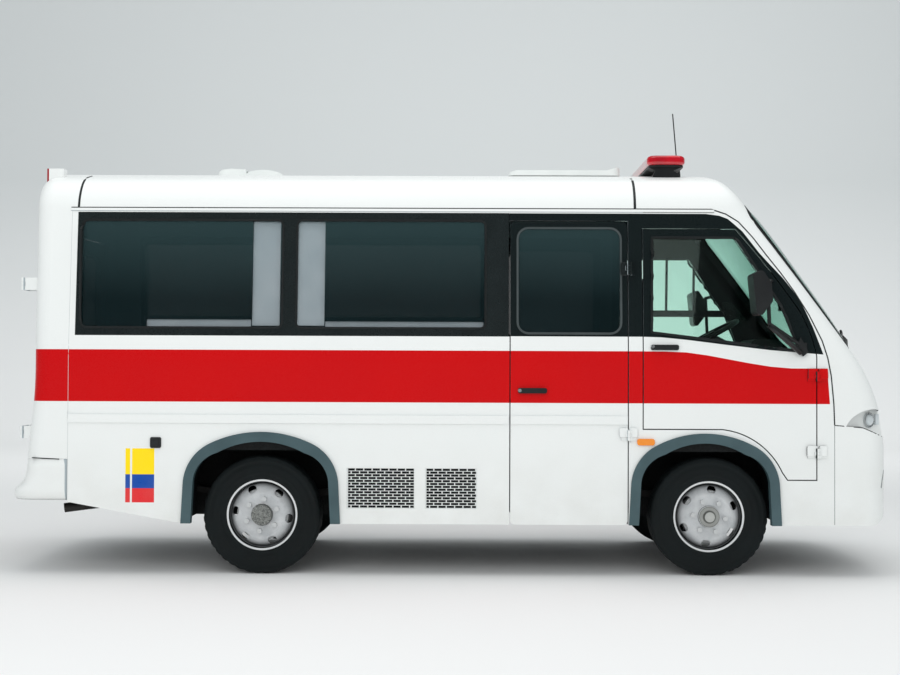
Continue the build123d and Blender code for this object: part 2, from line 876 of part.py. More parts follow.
def rim():
    """Rim and disc; the side that shows faces +Y."""
    t = rim_thickness
    bead = tyre_width / 2 - bead_inset
    inner = rim_radius - t
    barrel = [
        (rim_flange, -rim_half - t),
        (rim_flange, -rim_half),
        (rim_radius, -bead),
        (rim_radius, -bead / 2),
        (rim_well_radius + t, -bead / 3),
        (rim_well_radius + t, bead / 3),
        (rim_radius, bead / 2),
        (rim_radius, bead),
        (rim_flange, rim_half),
        (rim_flange, rim_half + t),
        (inner, bead + t),
        (inner, bead / 2),
        (rim_well_radius, bead / 3 - t),
        (rim_well_radius, t - bead / 3),
        (inner, -bead / 2),
        (inner, -bead - t),
    ]
    barrel = [(r - seat_clearance, y) for r, y in barrel]
    shape = turned(make_face(Polyline(*barrel, close=True)))
    root = rim_well_radius + t / 2
    knee = hub_flange_radius + t
    disc_back = disc_face - disc_thickness
    disc = make_face(
        [
            Line((hub_body_radius + bearing_gap, disc_face), (hub_flange_radius, disc_face)),
            ThreePointArc(
                (hub_flange_radius, disc_face),
                (hand_hole_circle, disc_face - t),
                (root, disc_root),
            ),
            Line((root, disc_root), (root, disc_root - 2 * t)),
            ThreePointArc(
                (root, disc_root - 2 * t),
                (hand_hole_circle - t, disc_back - t),
                (knee, disc_back),
            ),
            Line((knee, disc_back), (hub_body_radius + bearing_gap, disc_back)),
            Line((hub_body_radius + bearing_gap, disc_back), (hub_body_radius + bearing_gap, disc_face)),
        ]
    )
    disc = turned(disc)
    hole = SlotOverall(*hand_hole_size)
    for k in range(nut_count):
        turn = Rot(0, (k + 0.5) * 360 / nut_count, 0)
        plane = Plane((0, disc_root, hand_hole_circle), x_dir=(1, 0, 0), z_dir=(0, 1, 0))
        disc -= turn * extrude(plane * hole, overrun)
    return shape + disc


def hub(front):
    """Hub, brake drum and wheel nuts on one body."""
    ring = front_ring_radius if front else rear_cap_radius
    ring_length = front_ring_length if front else rear_cap_length
    face = disc_face + bearing_gap / 2
    back = disc_face - disc_thickness - bearing_gap / 2
    bore = spindle_radius + bearing_gap
    outline = [
        (0, spindle_end + bearing_gap),
        (0, face + ring_length),
        (ring, face + ring_length),
        (ring, back),
        (hub_flange_radius - rim_thickness, back),
        (hub_flange_radius - rim_thickness, back - drum_wall),
        (hub_body_radius, back - 2 * drum_wall),
        (hub_body_radius, -hub_reach),
        (bore, -hub_reach),
        (bore, spindle_end + bearing_gap),
    ]
    shape = turned(make_face(Polyline(*outline, close=True)))
    top = back - drum_wall
    drum = [
        (hub_body_radius - rim_thickness, top),
        (drum_radius - drum_wall, top),
        (drum_radius, top - drum_wall),
        (drum_radius, -drum_reach),
        (drum_radius - drum_wall, -drum_reach),
        (drum_radius - drum_wall, top - drum_wall),
        (hub_body_radius - rim_thickness, top - drum_wall),
    ]
    shape += turned(make_face(Polyline(*drum, close=True)))
    if front:
        shape += turned(rectangle((0, front_cap_radius), (face, face + front_cap_length)))
    for k in range(nut_count):
        angle = math.radians((k + 0.5) * 360 / nut_count)
        x, z = nut_circle * math.cos(angle), nut_circle * math.sin(angle)
        shape += rod((x, back - drum_wall / 2, z), (x, face + nut_length, z), nut_radius)
    return shape


wheel_places = {
    "front_right": (front_axle, RIGHT),
    "front_left": (front_axle, LEFT),
    "rear_right": (rear_axle, RIGHT),
    "rear_left": (rear_axle, LEFT),
}
tyre_shape, rim_shape = tyre(), rim()
hub_shapes = {True: hub(True), False: hub(False)}
for name, (x, side) in wheel_places.items():
    front = name.startswith("front")
    place = Pos(x, side * track / 2, axle_height) * Rot(0, wheel_turns[front], 0)
    for kind, shape in (("tyre", tyre_shape), ("rim", rim_shape - hub_shapes[front]), ("hub", hub_shapes[front])):
        turned_shape = shape if side == LEFT else mirror(shape, Plane.XZ)
        keep(f"{kind}_{name}", place * turned_shape)

# Steering knuckles and front axle beam
kingpin_y = 718
kingpin_radius = 15
kingpin_boss = 40
beam_boss_half = 55
lug_gap = 5
lug_height = 36
upright_gap = 7
upright_depth = 22
plate_radius = 150
plate_thickness = 6
arm_length = 190
arm_width = 36
beam_drop = 90
beam_half_width = 42
beam_half_height = 34

lug_low = beam_boss_half + lug_gap
lug_high = lug_low + lug_height
upright_in = kingpin_boss + upright_gap
upright_out = upright_in + upright_depth


def knuckle(side):
    """Yoke, kingpin, spindle and backing plate; local Y points outward from the kingpin."""
    shape = Cylinder(kingpin_radius, 2 * lug_high)
    for low in (lug_low, -lug_high):
        lug = Pos(0, 0, low) * Cylinder(
            kingpin_boss, lug_height, align=(Align.CENTER, Align.CENTER, Align.MIN)
        )
        lug += block((-kingpin_boss, kingpin_boss), (0, upright_out), (low, low + lug_height))
        shape += lug
    shape += block((-kingpin_boss, kingpin_boss), (upright_in, upright_out), (-lug_high, lug_high))
    to_wheel = track / 2 - kingpin_y
    shape += rod((0, upright_in, 0), (0, to_wheel + spindle_end, 0), spindle_radius)
    shape += block((-arm_length, 0), (0, arm_width), (-lug_high, -lug_low))
    plate_y = to_wheel - drum_reach - lug_gap - plate_thickness
    shape += rod((0, plate_y, 0), (0, plate_y + plate_thickness, 0), plate_radius)
    shape = Pos(front_axle, kingpin_y, axle_height) * shape
    return shape if side == LEFT else mirror(shape, Plane.XZ)


for name, side in SIDES.items():
    keep(f"knuckle_{name}", knuckle(side))

# Leaf springs sit on the axles and hang from brackets on the rails
spring_y = (444, 514)
spring_thickness = 56
spring_end_thickness = 14
# Axle, half length and eye height of each spring pair
spring_rows = [(front_axle, 620, 548), (rear_axle, 680, 556)]
bracket_width = 56
bracket_height = 64
axle_tube_radius = 55
spring_seat = axle_height + axle_tube_radius

beam_top = spring_seat
beam_bottom = beam_top - 2 * beam_half_height
beam_half = spring_y[1] + beam_half_width
beam = block(
    (front_axle - beam_half_width, front_axle + beam_half_width), (-beam_half, beam_half), (beam_bottom, beam_top)
)
for side in (RIGHT, LEFT):
    end = (front_axle, side * kingpin_y, axle_height)
    start = (front_axle, side * (beam_half - beam_half_width), (beam_top + beam_bottom) / 2)
    arm = rod(start, (end[0], end[1] - side * kingpin_boss / 2, end[2]), beam_half_height)
    boss = Pos(*end) * Cylinder(kingpin_boss, 2 * beam_boss_half)
    beam += arm + boss - Pos(*end) * Cylinder(kingpin_radius + bearing_gap, 2 * beam_boss_half)
keep("front_axle", beam)

axle_end = track / 2 - drum_reach - lug_gap - plate_thickness
rear = rod((rear_axle, -axle_end, axle_height), (rear_axle, axle_end, axle_height), axle_tube_radius)
rear += rod(
    (rear_axle, -track / 2 - spindle_end, axle_height),
    (rear_axle, track / 2 + spindle_end, axle_height),
    spindle_radius,
)
rear += rod(
    (rear_axle - banjo_radius / 2, 0, axle_height), (rear_axle + banjo_radius / 2, 0, axle_height), banjo_radius
)
rear += rod((rear_axle, 0, axle_height), (rear_axle + banjo_radius - mount_width / 2, 0, axle_height), 2 * shaft_radius)
for side in (RIGHT, LEFT):
    plate = sorted((side * axle_end, side * (axle_end + plate_thickness)))
    rear += rod((rear_axle, plate[0], axle_height), (rear_axle, plate[1], axle_height), plate_radius)
    pad = sorted((side * spring_y[0], side * spring_y[1]))
    rear += block(
        (rear_axle - beam_half_width, rear_axle + beam_half_width), pad, (axle_height, spring_seat)
    )
keep("rear_axle", rear)

springs = []
for axle, half, eye_height in spring_rows:
    low = spring_seat
    upper = low + spring_thickness
    eye_low = eye_height - spring_end_thickness
    mid_low = (low + eye_low) / 2 - (eye_low - low) / 4
    mid_high = (upper + eye_height) / 2 - (eye_height - upper) / 4
    profile = make_face(
        [
            ThreePointArc((-half, eye_low), (0, low), (half, eye_low)),
            Line((half, eye_low), (half, eye_height)),
            ThreePointArc((half, eye_height), (0, upper), (-half, eye_height)),
            Line((-half, eye_height), (-half, eye_low)),
        ]
    )
    for side in (RIGHT, LEFT):
        y = sorted((side * spring_y[0], side * spring_y[1]))
        spring = side_prism(Pos(axle, 0) * profile, y)
        for x in (axle - half, axle + half):
            reach_y = sorted((side * rail_half, side * spring_y[1]))
            spring += block(
                (x - bracket_width / 2, x + bracket_width / 2),
                reach_y,
                (eye_low - spring_end_thickness, eye_low + bracket_height),
            )
        springs.append(spring)
keep("leaf_springs", group(springs))

# Fuel tank and exhaust
tank_x = (-700, -80)
tank_y = (rail_half, 880)
tank_z = (372, 640)
tank_radius = 60
tank = rounded_rectangle(tank_y, tank_z, tank_radius)
keep("fuel_tank", cross_prism(tank, tank_x))

pipe_radius = 30
muffler_radius = 85
muffler_x = (-420, 380)
pipe_stub = 60
manifold = (-200, 600)
# The pipe's bends after the engine: X, Y and Z
pipe_bends = [
    (1440, -285, 520),
    (-1700, -285, 520),
    (-2000, -300, 440),
    (-2250, -330, 430),
    (-2420, -650, 430),
    (-2580, -880, 425),
    (-2700, -900, 410),
]
muffler_z = 480
pipe_route = [
    (engine_x[0] - seat_clearance, *manifold),
    (engine_x[0] - pipe_stub, *manifold),
    *pipe_bends,
]
exhaust = pipe(pipe_route, pipe_radius)
muffler_y = pipe_route[3][1] + pipe_radius
exhaust += rod((muffler_x[0], muffler_y, muffler_z), (muffler_x[1], muffler_y, muffler_z), muffler_radius)
keep("exhaust", exhaust)

# Cab: dashboard with its column, steering wheel and two seats
wheel_x, wheel_y, wheel_z = 1665, 480, 1560
wheel_radius = 225
wheel_rim = 16
wheel_tilt = 28
column_radius = 28
column_length = 500
dash_x = (1880, 2240)
dash_z = (1120, 1440)
dash_radius = 90
dash_half = 940
hood_half = 230
hood_height = 90

tilt = Pos(wheel_x, wheel_y, wheel_z) * Rot(0, -wheel_tilt, 0)
ring = Torus(wheel_radius, wheel_rim)
ring += Cylinder(3 * wheel_rim, 2 * wheel_rim)
for angle in (90, 210, 330):
    spoke = block((0, wheel_radius), (-wheel_rim, wheel_rim), (-wheel_rim / 2, wheel_rim / 2))
    ring += Rot(0, 0, angle) * spoke
keep("steering_wheel", tilt * ring)

dash_profile = rounded_rectangle(dash_x, dash_z, dash_radius)
dash = side_prism(dash_profile, (-dash_half, dash_half))
hood = rounded_rectangle(
    (dash_x[0] + dash_radius / 2, dash_x[1] - dash_radius),
    (dash_z[1] - hood_height, dash_z[1] + hood_height),
    hood_height / 2,
)
dash += side_prism(hood, (wheel_y - hood_half, wheel_y + hood_half))
column = Cylinder(column_radius, column_length, align=(Align.CENTER, Align.CENTER, Align.MAX))
dash += tilt * Pos(0, 0, -wheel_rim - seat_clearance) * column
leg = 60
for y in (-dash_half, dash_half - leg):
    dash += block(
        (dash_x[0] + dash_radius, dash_x[1] - dash_radius), (y, y + leg), (floor_top, dash_z[0] + leg)
    )
keep("dashboard", dash)

# Seats: cushion and back of each one, on a pedestal
seat_width = 480
seat_cushion_length = 460
seat_cushion_thickness = 120
seat_back_height = 680
seat_back_thickness = 110
seat_radius = 45
seat_cushion_top = 1290
pedestal_half = 150
# Seat name, front of the back rest, centre
seat_rows = [(1228, 480), (1040, -480)]

cushions = []
for back_front, y in seat_rows:
    cushion_z = (seat_cushion_top - seat_cushion_thickness, seat_cushion_top)
    limits = (y - seat_width / 2, y + seat_width / 2)
    cushion = side_prism(
        rounded_rectangle((back_front + seat_clearance, back_front + seat_cushion_length), cushion_z, seat_radius),
        limits,
    )
    back = side_prism(
        rounded_rectangle(
            (back_front - seat_back_thickness, back_front),
            (cushion_z[0], seat_cushion_top + seat_back_height),
            seat_radius,
        ),
        limits,
    )
    cushions += [cushion, back]
    pedestal = block(
        (back_front - seat_back_thickness + seat_radius, back_front + seat_cushion_length - seat_radius),
        (y - pedestal_half, y + pedestal_half),
        (floor_top, cushion_z[0] - seat_clearance),
    )
    floor_parts.append(pedestal)
keep("seat_pads", group(cushions))
keep("floor", group(floor_parts))

# Patient compartment: a low and a tall cabinet on the left, a stretcher in the middle
cabinet_y = (560, 955)
tall_cabinet_y = (560, 905)
cabinet_x = (-2500, 0)
cabinet_top = 1690
tall_cabinet_x = (-1705, -1203)
tall_cabinet_top = 2240
cabinet_lip = 30
cabinet_board = 20
cabinet_split = -570
# Each bay's rear and front, its depth and its top
cabinet_bays = [
    (cabinet_x[0], tall_cabinet_x[0], cabinet_y[1], cabinet_top),
    (tall_cabinet_x[0], tall_cabinet_x[1], tall_cabinet_y[1], tall_cabinet_top),
    (tall_cabinet_x[1], cabinet_split, cabinet_y[1], cabinet_top),
    (cabinet_split, cabinet_x[1], cabinet_y[1], cabinet_top),
]
cabinet = block(cabinet_x, cabinet_y, (floor_top, cabinet_top))
cabinet += block(tall_cabinet_x, tall_cabinet_y, (floor_top, tall_cabinet_top))
cabinet += block(
    (cabinet_x[0], cabinet_x[1]), (cabinet_y[0] - cabinet_lip, cabinet_y[1]), (cabinet_top - cabinet_lip, cabinet_top)
)
for bay_rear, bay_front, depth, top in cabinet_bays:
    cabinet -= block(
        (bay_rear + cabinet_board, bay_front - cabinet_board),
        (cabinet_y[0] + cabinet_board, depth),
        (floor_top + cabinet_board, top - cabinet_lip),
    )
keep("cabinets", cabinet)

stretcher_x = (-2350, -420)
stretcher_half = 270
stretcher_pad_z = (1290, 1370)
stretcher_tube = 20
stretcher_cross = 16
stretcher_leg = 12
stretcher_inset = 60
pad = plan_prism(
    rounded_rectangle(stretcher_x, (-stretcher_half, stretcher_half), seat_radius), stretcher_pad_z
)
keep("stretcher_pad", pad)
bed_z = stretcher_pad_z[0] - stretcher_tube - seat_clearance
foot_z = floor_top + stretcher_tube
tray_x = (stretcher_x[0] + 3 * stretcher_tube, stretcher_x[1] - 3 * stretcher_tube)
stretcher = None
for y in (-stretcher_half + stretcher_tube, stretcher_half - stretcher_tube):
    for z in (bed_z, foot_z):
        bar = rod((tray_x[0], y, z), (tray_x[1], y, z), stretcher_tube)
        stretcher = bar if stretcher is None else stretcher + bar
    leg_foot = (tray_x[0] + stretcher_inset, tray_x[1] - stretcher_inset)
    leg_head = (tray_x[1] - seat_cushion_length, tray_x[0] + seat_cushion_length)
    for foot, head in zip(leg_foot, leg_head):
        stretcher += rod((foot, y, foot_z), (head, y, bed_z), stretcher_leg)
for x in leg_foot:
    for z in (bed_z, foot_z):
        stretcher += rod(
            (x, stretcher_tube - stretcher_half, z), (x, stretcher_half - stretcher_tube, z), stretcher_cross
        )
keep("stretcher_frame", stretcher)

# Roof fittings: a hatch whose lid stands off its curb, and a hooded vent with a dome before it
hatch_x = (162, 922)
hatch_half = 330
hatch_gap = 7
hatch_lid = 36
hatch_edge_drop = 12
hatch_edge_run = 55
hatch_curb_inset = 45
hatch_lip_start = 90
hatch_lip_end = 14
hatch_lip_rise = 23


roof_drop = crown_height - shoulder_height
roof_radius = (shoulder_half**2 + roof_drop**2) / (2 * roof_drop)


def roof_height(y):
    """Height of the crowned roof at some distance from the centreline."""
    return crown_height - roof_radius + math.sqrt(roof_radius**2 - y**2)


hatch_under = roof_height(hatch_half) + hatch_gap
hatch_top = hatch_under + hatch_lid
hatch_face = make_face(
    Polyline(
        (hatch_x[0], hatch_under),
        (hatch_x[0], hatch_top - 2 * hatch_edge_drop),
        (hatch_x[0] + hatch_edge_drop, hatch_top - hatch_edge_drop),
        (hatch_x[0] + hatch_edge_run, hatch_top),
        (hatch_x[1] - hatch_lip_start, hatch_top),
        (hatch_x[1] - hatch_lip_end, hatch_top + hatch_lip_rise),
        (hatch_x[1], hatch_top + hatch_edge_drop),
        (hatch_x[1], hatch_under),
        close=True,
    )
)
hatch = side_prism(hatch_face, (-hatch_half, hatch_half))
hatch_corners = [e for e in hatch.edges() if e.bounding_box().size.Z > hatch_edge_drop / 2]
hatch_corners = [e for e in hatch_corners if e.bounding_box().size.X < hatch_gap]
hatch = fillet(hatch_corners, hatch_curb_inset)
hatch += block(
    (hatch_x[0] + hatch_curb_inset, hatch_x[1] - hatch_curb_inset),
    (hatch_curb_inset - hatch_half, hatch_half - hatch_curb_inset),
    (shoulder_height, hatch_under),
)
keep("roof_hatch", hatch - body)

vent_x = (-1849, -1392)
vent_split = -1648
vent_half = 200
vent_corner = 60
vent_sink = 8
vent_base = roof_height(vent_half) - vent_sink
vent_top = 2687
vent_brow = 2682
vent_foot_height = 2650
# The hood's side view: run from its rear end, and height
hood_line = [(0, vent_foot_height), (12, 2667), (38, 2680), (100, vent_top)]
dome_start = (28, 2668)
dome_top = 2679
mouth_inset = 45
mouth_depth = 110
mouth_z = (2656, 2674)
hood_points = [(vent_x[0] + run, height) for run, height in hood_line]
hood = make_face(
    Polyline(
        (vent_x[0], vent_base), *hood_points, (vent_split, vent_brow), (vent_split, vent_base), close=True
    )
)
dome_rear = vent_split + dome_start[0]
dome_middle = (dome_rear + vent_x[1]) / 2
dome = make_face(
    [
        Line((vent_split, vent_base), (vent_split, vent_foot_height)),
        Line((vent_split, vent_foot_height), (dome_rear, dome_start[1])),
        ThreePointArc((dome_rear, dome_start[1]), (dome_middle, dome_top), (vent_x[1], vent_foot_height)),
        Line((vent_x[1], vent_foot_height), (vent_x[1], vent_base)),
        Line((vent_x[1], vent_base), (vent_split, vent_base)),
    ]
)
vent_plan = rounded_rectangle(vent_x, (-vent_half, vent_half), vent_corner)
vent = side_prism(hood, (-vent_half, vent_half)) + side_prism(dome, (-vent_half, vent_half))
vent &= plan_prism(vent_plan, (vent_base, crown_height + overrun))
vent -= block(
    (vent_split - mouth_depth, vent_split), (mouth_inset - vent_half, vent_half - mouth_inset), mouth_z
)
roof_round = Pos(0, crown_height - roof_radius) * Circle(roof_radius)
vent -= cross_prism(roof_round, (vent_x[0] - overrun, vent_x[1] + overrun))
keep("roof_vent", vent)

# Light bar: a long lens with round ends on a black tray, and a waisted foot near each end
bar_x = (1072, 1326)
bar_half = 640
bar_base_z = (2652, 2664)
bar_top = 2729
bar_end_radius = 70
bar_lens_radius = 24
bar_tray_inset = 12
bar_foot_y = (470, 590)
bar_foot_x = (1112, 1293)
bar_waist_x = (1130, 1247)
bar_waist_z = 2632
bar_foot_top = 2600
bar_plan = rounded_rectangle(bar_x, (-bar_half, bar_half), bar_end_radius)
base = plan_prism(offset(bar_plan, -bar_tray_inset), bar_base_z)
foot_face = make_face(
    Polyline(
        (bar_x[0] + bar_tray_inset, bar_base_z[0]),
        (bar_x[1] - 2 * bar_tray_inset, bar_base_z[0]),
        (bar_waist_x[1], bar_waist_z),
        (bar_foot_x[1], bar_foot_top),
        (bar_foot_x[1], shoulder_height),
        (bar_foot_x[0], shoulder_height),
        (bar_foot_x[0], bar_foot_top),
        (bar_waist_x[0], bar_waist_z),
        close=True,
    )
)
for side in (RIGHT, LEFT):
    base += side_prism(foot_face, sorted((side * bar_foot_y[0], side * bar_foot_y[1])))
keep("light_bar_base", base - body)
bar_lens = plan_prism(bar_plan, (bar_base_z[1], bar_top))
lens_edges = bar_lens.faces().sort_by(Axis.Z)[-1].edges() + bar_lens.faces().sort_by(Axis.Z)[0].edges()
keep("light_bar_lens", fillet(lens_edges, bar_lens_radius))

# Rear roof marker lamps and side markers
roof_marker_x = (-2876, -2768)
roof_marker_y = 690
roof_marker_half = 45
roof_marker_height = 47
roof_marker_sink = 60
side_marker_x = (956, 1068)
side_marker_z = (832, 874)
side_marker_depth = 16
side_marker_radius = 16
markers = []
for side in (RIGHT, LEFT):
    y = sorted((side * (roof_marker_y - roof_marker_half), side * (roof_marker_y + roof_marker_half)))
    base_z = roof_height(roof_marker_y + roof_marker_half) - roof_marker_sink
    marker = block(roof_marker_x, y, (base_z, roof_height(roof_marker_y) + roof_marker_height)) - body
    markers.append(marker.solids().sort_by(SortBy.VOLUME)[-1])
    face_y = sorted((side * half_width, side * (half_width + side_marker_depth)))
    marker = rounded_rectangle(side_marker_x, side_marker_z, side_marker_radius)
    markers.append(side_prism(marker, face_y))

# Aerial on the front of the roof
aerial_foot = (1356, -100)
aerial_tip = (1312, 3092)
aerial_radius = 4
aerial_foot_radius = 18
aerial_foot_height = 60
aerial_base = roof_height(aerial_foot[1]) - aerial_foot_height
aerial_neck = aerial_base + 3 * aerial_foot_height
aerial_lean = (aerial_tip[0] - aerial_foot[0]) / (aerial_tip[1] - aerial_base)
aerial = rod(
    (aerial_foot[0], aerial_foot[1], aerial_base),
    (aerial_tip[0], aerial_foot[1], aerial_tip[1]),
    aerial_radius,
)
aerial += rod(
    (aerial_foot[0], aerial_foot[1], aerial_base),
    (aerial_foot[0] + aerial_lean * (aerial_neck - aerial_base), aerial_foot[1], aerial_neck),
    aerial_foot_radius,
)
keep("aerial", aerial - body)

# Headlamps: a bowl cut slantwise out of each front corner, with a round lens and an upright one in it
# Plan view of the right bowl's floor, from its rear end forward
bowl_line = [(2262, -1032), (2590, -790)]
bowl_wall = 8
# Side view of the bowl's upper edge from its rear end, ahead of which it follows the bumper line
bowl_rear = (2276, 955)
bowl_crest = (2345, 1032)
bowl_front = (2540, 1046)
lens_radius = 38
lens_ring = 9
lens_depth = 26
lens_edge = 20
lens_place = (2452, 992)
corner_lens_x = (2500, 2526)
corner_lens_z = (962, 1030)
corner_lens_depth = 14
lamp_seat = 0.3
floor_slope = math.atan2(bowl_line[1][1] - bowl_line[0][1], bowl_line[1][0] - bowl_line[0][0])
bowl_normal = (math.sin(floor_slope), -math.cos(floor_slope))


def bowl_face(gap):
    """Side view of a bowl, widened by a gap."""
    far = front_end + overrun
    lower = [(x, z + panel_gap) for x, z in bumper_line]
    edges = [
        Line(bowl_rear, bowl_front),
        Line(bowl_front, (far, bowl_front[1])),
        Line((far, bowl_front[1]), (far, lower[1][1])),
        Line((far, lower[1][1]), lower[1]),
        Line(lower[1], lower[0]),
        Line(lower[0], bowl_rear),
    ]
    edges[0] = ThreePointArc(bowl_rear, bowl_crest, bowl_front)
    return offset(make_face(edges), gap, kind=Kind.INTERSECTION) if gap else make_face(edges)


def bowl_outside(depth):
    """The plan region outside the bowl's floor, moved inward by a depth."""
    shift = (-depth * bowl_normal[0], -depth * bowl_normal[1])
    ends = [(x + shift[0], y + shift[1]) for x, y in bowl_line]
    far = front_end + overrun
    outer = -half_width - overrun
    points = [*ends, (far, ends[1][1]), (far, outer), (ends[0][0], outer)]
    return plan_prism(make_face(Polyline(*points, close=True)), (bumper_top - overrun, crown_height))


def on_bowl(x):
    """The place on the bowl's floor at some X."""
    return bowl_line[0][1] + (x - bowl_line[0][0]) * math.tan(floor_slope)


bowl_cut = side_prism(bowl_face(0), outward(RIGHT)) & bowl_outside(0)
bowl_shell = side_prism(bowl_face(bowl_wall), outward(RIGHT)) & bowl_outside(bowl_wall)
bowl_shell = (bowl_shell & body & side_prism(cap_face(), reach)) - bowl_cut

lens_centre = (lens_place[0], on_bowl(lens_place[0]), lens_place[1])
lens_plane = Plane(lens_centre, z_dir=(bowl_normal[0], bowl_normal[1], 0))
lens_disc = extrude(Circle(lens_radius), lens_depth)
lens_disc = fillet(lens_disc.faces().sort_by(Axis.Z)[-1].edges(), lens_edge)
round_lamp = lens_plane * Pos(0, 0, lamp_seat) * (extrude(Circle(lens_radius + lens_ring), lens_ring) + lens_disc)
corner_plan = [
    (corner_lens_x[0], on_bowl(corner_lens_x[0])),
    (corner_lens_x[1], on_bowl(corner_lens_x[1])),
]
raised = [(x + corner_lens_depth * bowl_normal[0], y + corner_lens_depth * bowl_normal[1]) for x, y in corner_plan]
seated = [(x + lamp_seat * bowl_normal[0], y + lamp_seat * bowl_normal[1]) for x, y in corner_plan]
corner_face = make_face(Polyline(seated[0], seated[1], raised[1], raised[0], close=True))
corner_lamp = plan_prism(corner_face, corner_lens_z)

# Tail lamps: upright lenses let into the rear corners
tail_lamp_y = (850, 960)
tail_lamp_z = (965, 1205)
tail_lamp_radius = 30
lamps = []
tails = []
for side in (RIGHT, LEFT):
    for lamp in (round_lamp, corner_lamp):
        lamps.append(lamp if side == RIGHT else mirror(lamp, Plane.XZ))
    cut = bowl_cut if side == RIGHT else mirror(bowl_cut, Plane.XZ)
    bowl = bowl_shell if side == RIGHT else mirror(bowl_shell, Plane.XZ)
    parts["front_panel"] = parts["front_panel"] - cut + bowl
    y = sorted((side * tail_lamp_y[0], side * tail_lamp_y[1]))
    face = rounded_rectangle(y, tail_lamp_z, tail_lamp_radius)
    cut = cross_prism(face, (rear_end - overrun, -rear_seam - wall))
    tails.append(cut & parts["rear_frame"])
    parts["rear_frame"] -= cut
keep("lamps", group(lamps + tails + markers))

# Bumper: a rounded chin and a shallow fog lamp recess near each corner
chin_radius = 90
fog_y = (745, 920)
fog_z = (575, 680)
fog_radius = 40
fog_depth = 22
chin_centre = (front_end - chin_radius, skirt_height + chin_radius)
chin = rectangle((chin_centre[0], front_end + chin_radius), (skirt_height - chin_radius, chin_centre[1]))
chin -= Pos(*chin_centre) * Circle(chin_radius)
parts["front_bumper"] -= turned_about(chin, front_end - front_bulge)
recess_depth = body - body_form(fog_depth)
for side in (RIGHT, LEFT):
    face = rounded_rectangle(sorted((side * fog_y[0], side * fog_y[1])), fog_z, fog_radius)
    parts["front_bumper"] -= recess_depth & cross_prism(face, (front_axle + overrun * 2, front_end + overrun))

# Mirrors: a six-sided head on a bent tube held at the pillar and at the door's lower corner
mirror_y = (1150, 1335)
mirror_radius = 22
# Side view of the head, from its upper rear corner round
mirror_outline = [(1629, 1898), (1689, 1930), (1745, 1845), (1753, 1735), (1672, 1628), (1652, 1672)]
arm_radius = 12
arm_y = 1175
arm_root_x = 1815
arm_root_z = 1880
arm_head_top = (1752, 1865)
arm_head_low = (1763, 1600)
lower_root = (2012, 1455)
root_plate = (34, 60)
for name, side in SIDES.items():
    outline = make_face(Polyline(*mirror_outline, close=True))
    outline = fillet(outline.vertices(), mirror_radius)
    head = side_prism(outline, sorted((side * mirror_y[0], side * mirror_y[1])))
    skin_y = side * (gutter_half + half_width) / 2
    tube = [
        (arm_root_x, skin_y, arm_root_z),
        (arm_head_top[0], side * arm_y, arm_head_top[1]),
        (arm_head_low[0], side * arm_y, arm_head_low[1]),
        (lower_root[0], side * half_width, lower_root[1]),
    ]
    head += pipe(tube, arm_radius)
    plate_y = sorted((skin_y, side * (half_width + arm_radius / 2)))
    head += side_prism(
        rectangle(
            (lower_root[0] - root_plate[0] / 2, lower_root[0] + root_plate[0] / 2),
            (lower_root[1] - root_plate[1] / 2, lower_root[1] + root_plate[1] / 2),
        ),
        plate_y,
    )
    head -= body
    keep(f"mirror_{name}", head.solids().sort_by(SortBy.VOLUME)[-1])

# Vent grilles in the right side: rows of short slots, laid like bricks
grille_inset = 6
grille_depth = 20
grille_sink = 4
slot_rows = 14
slot_pitch = 44
slot_width_share = 0.8
slot_height_share = 0.62
grilles = []
row_pitch = (vent_rows[1] - vent_rows[0]) / slot_rows
for column in vent_columns:
    y = (-half_width + grille_sink, -half_width + grille_sink + grille_depth)
    field = rectangle((column[0] + grille_inset, column[1] - grille_inset), vent_rows)
    plate = rectangle(column, vent_rows)
    slots = []
    for row in range(slot_rows):
        z = vent_rows[0] + (row + 0.5) * row_pitch
        shift = slot_pitch / 2 if row % 2 else 0
        for k in range(math.ceil((column[1] - column[0]) / slot_pitch) + 1):
            x = column[0] + k * slot_pitch - shift
            brick = Rectangle(slot_pitch * slot_width_share, row_pitch * slot_height_share)
            slots.append((Pos(x + slot_pitch / 2, z) * brick).face())
    cuts = [face for slot in slots for face in (Sketch([slot]) & field).faces()]
    plate -= Sketch(cuts)
    grilles.append(side_prism(plate.face(), y))
keep("vent_grilles", group(grilles))

# Door furniture: hinges, handles
hinge_length = 125
hinge_height = 62
hinge_plate = 8
barrel_radius = 13
hinge_stand = 16
hinge_pin_gap = 0.4
hinge_knuckle_gap = 1


hinge_axis_y = -half_width - hinge_stand


def hinge_barrel(x, y, z, third, middle):
    """The middle barrel with its bore, or the two outer ones with the pin."""
    if middle:
        barrel = Cylinder(barrel_radius, third - 2 * hinge_knuckle_gap)
        return Pos(x, y, z) * (barrel - Cylinder(barrel_radius / 2 + hinge_pin_gap, 2 * third))
    shape = Cylinder(barrel_radius / 2, 3 * third)
    for end in (-1, 1):
        shape += Pos(0, 0, end * third) * Cylinder(barrel_radius, third)
    return Pos(x, y, z) * shape


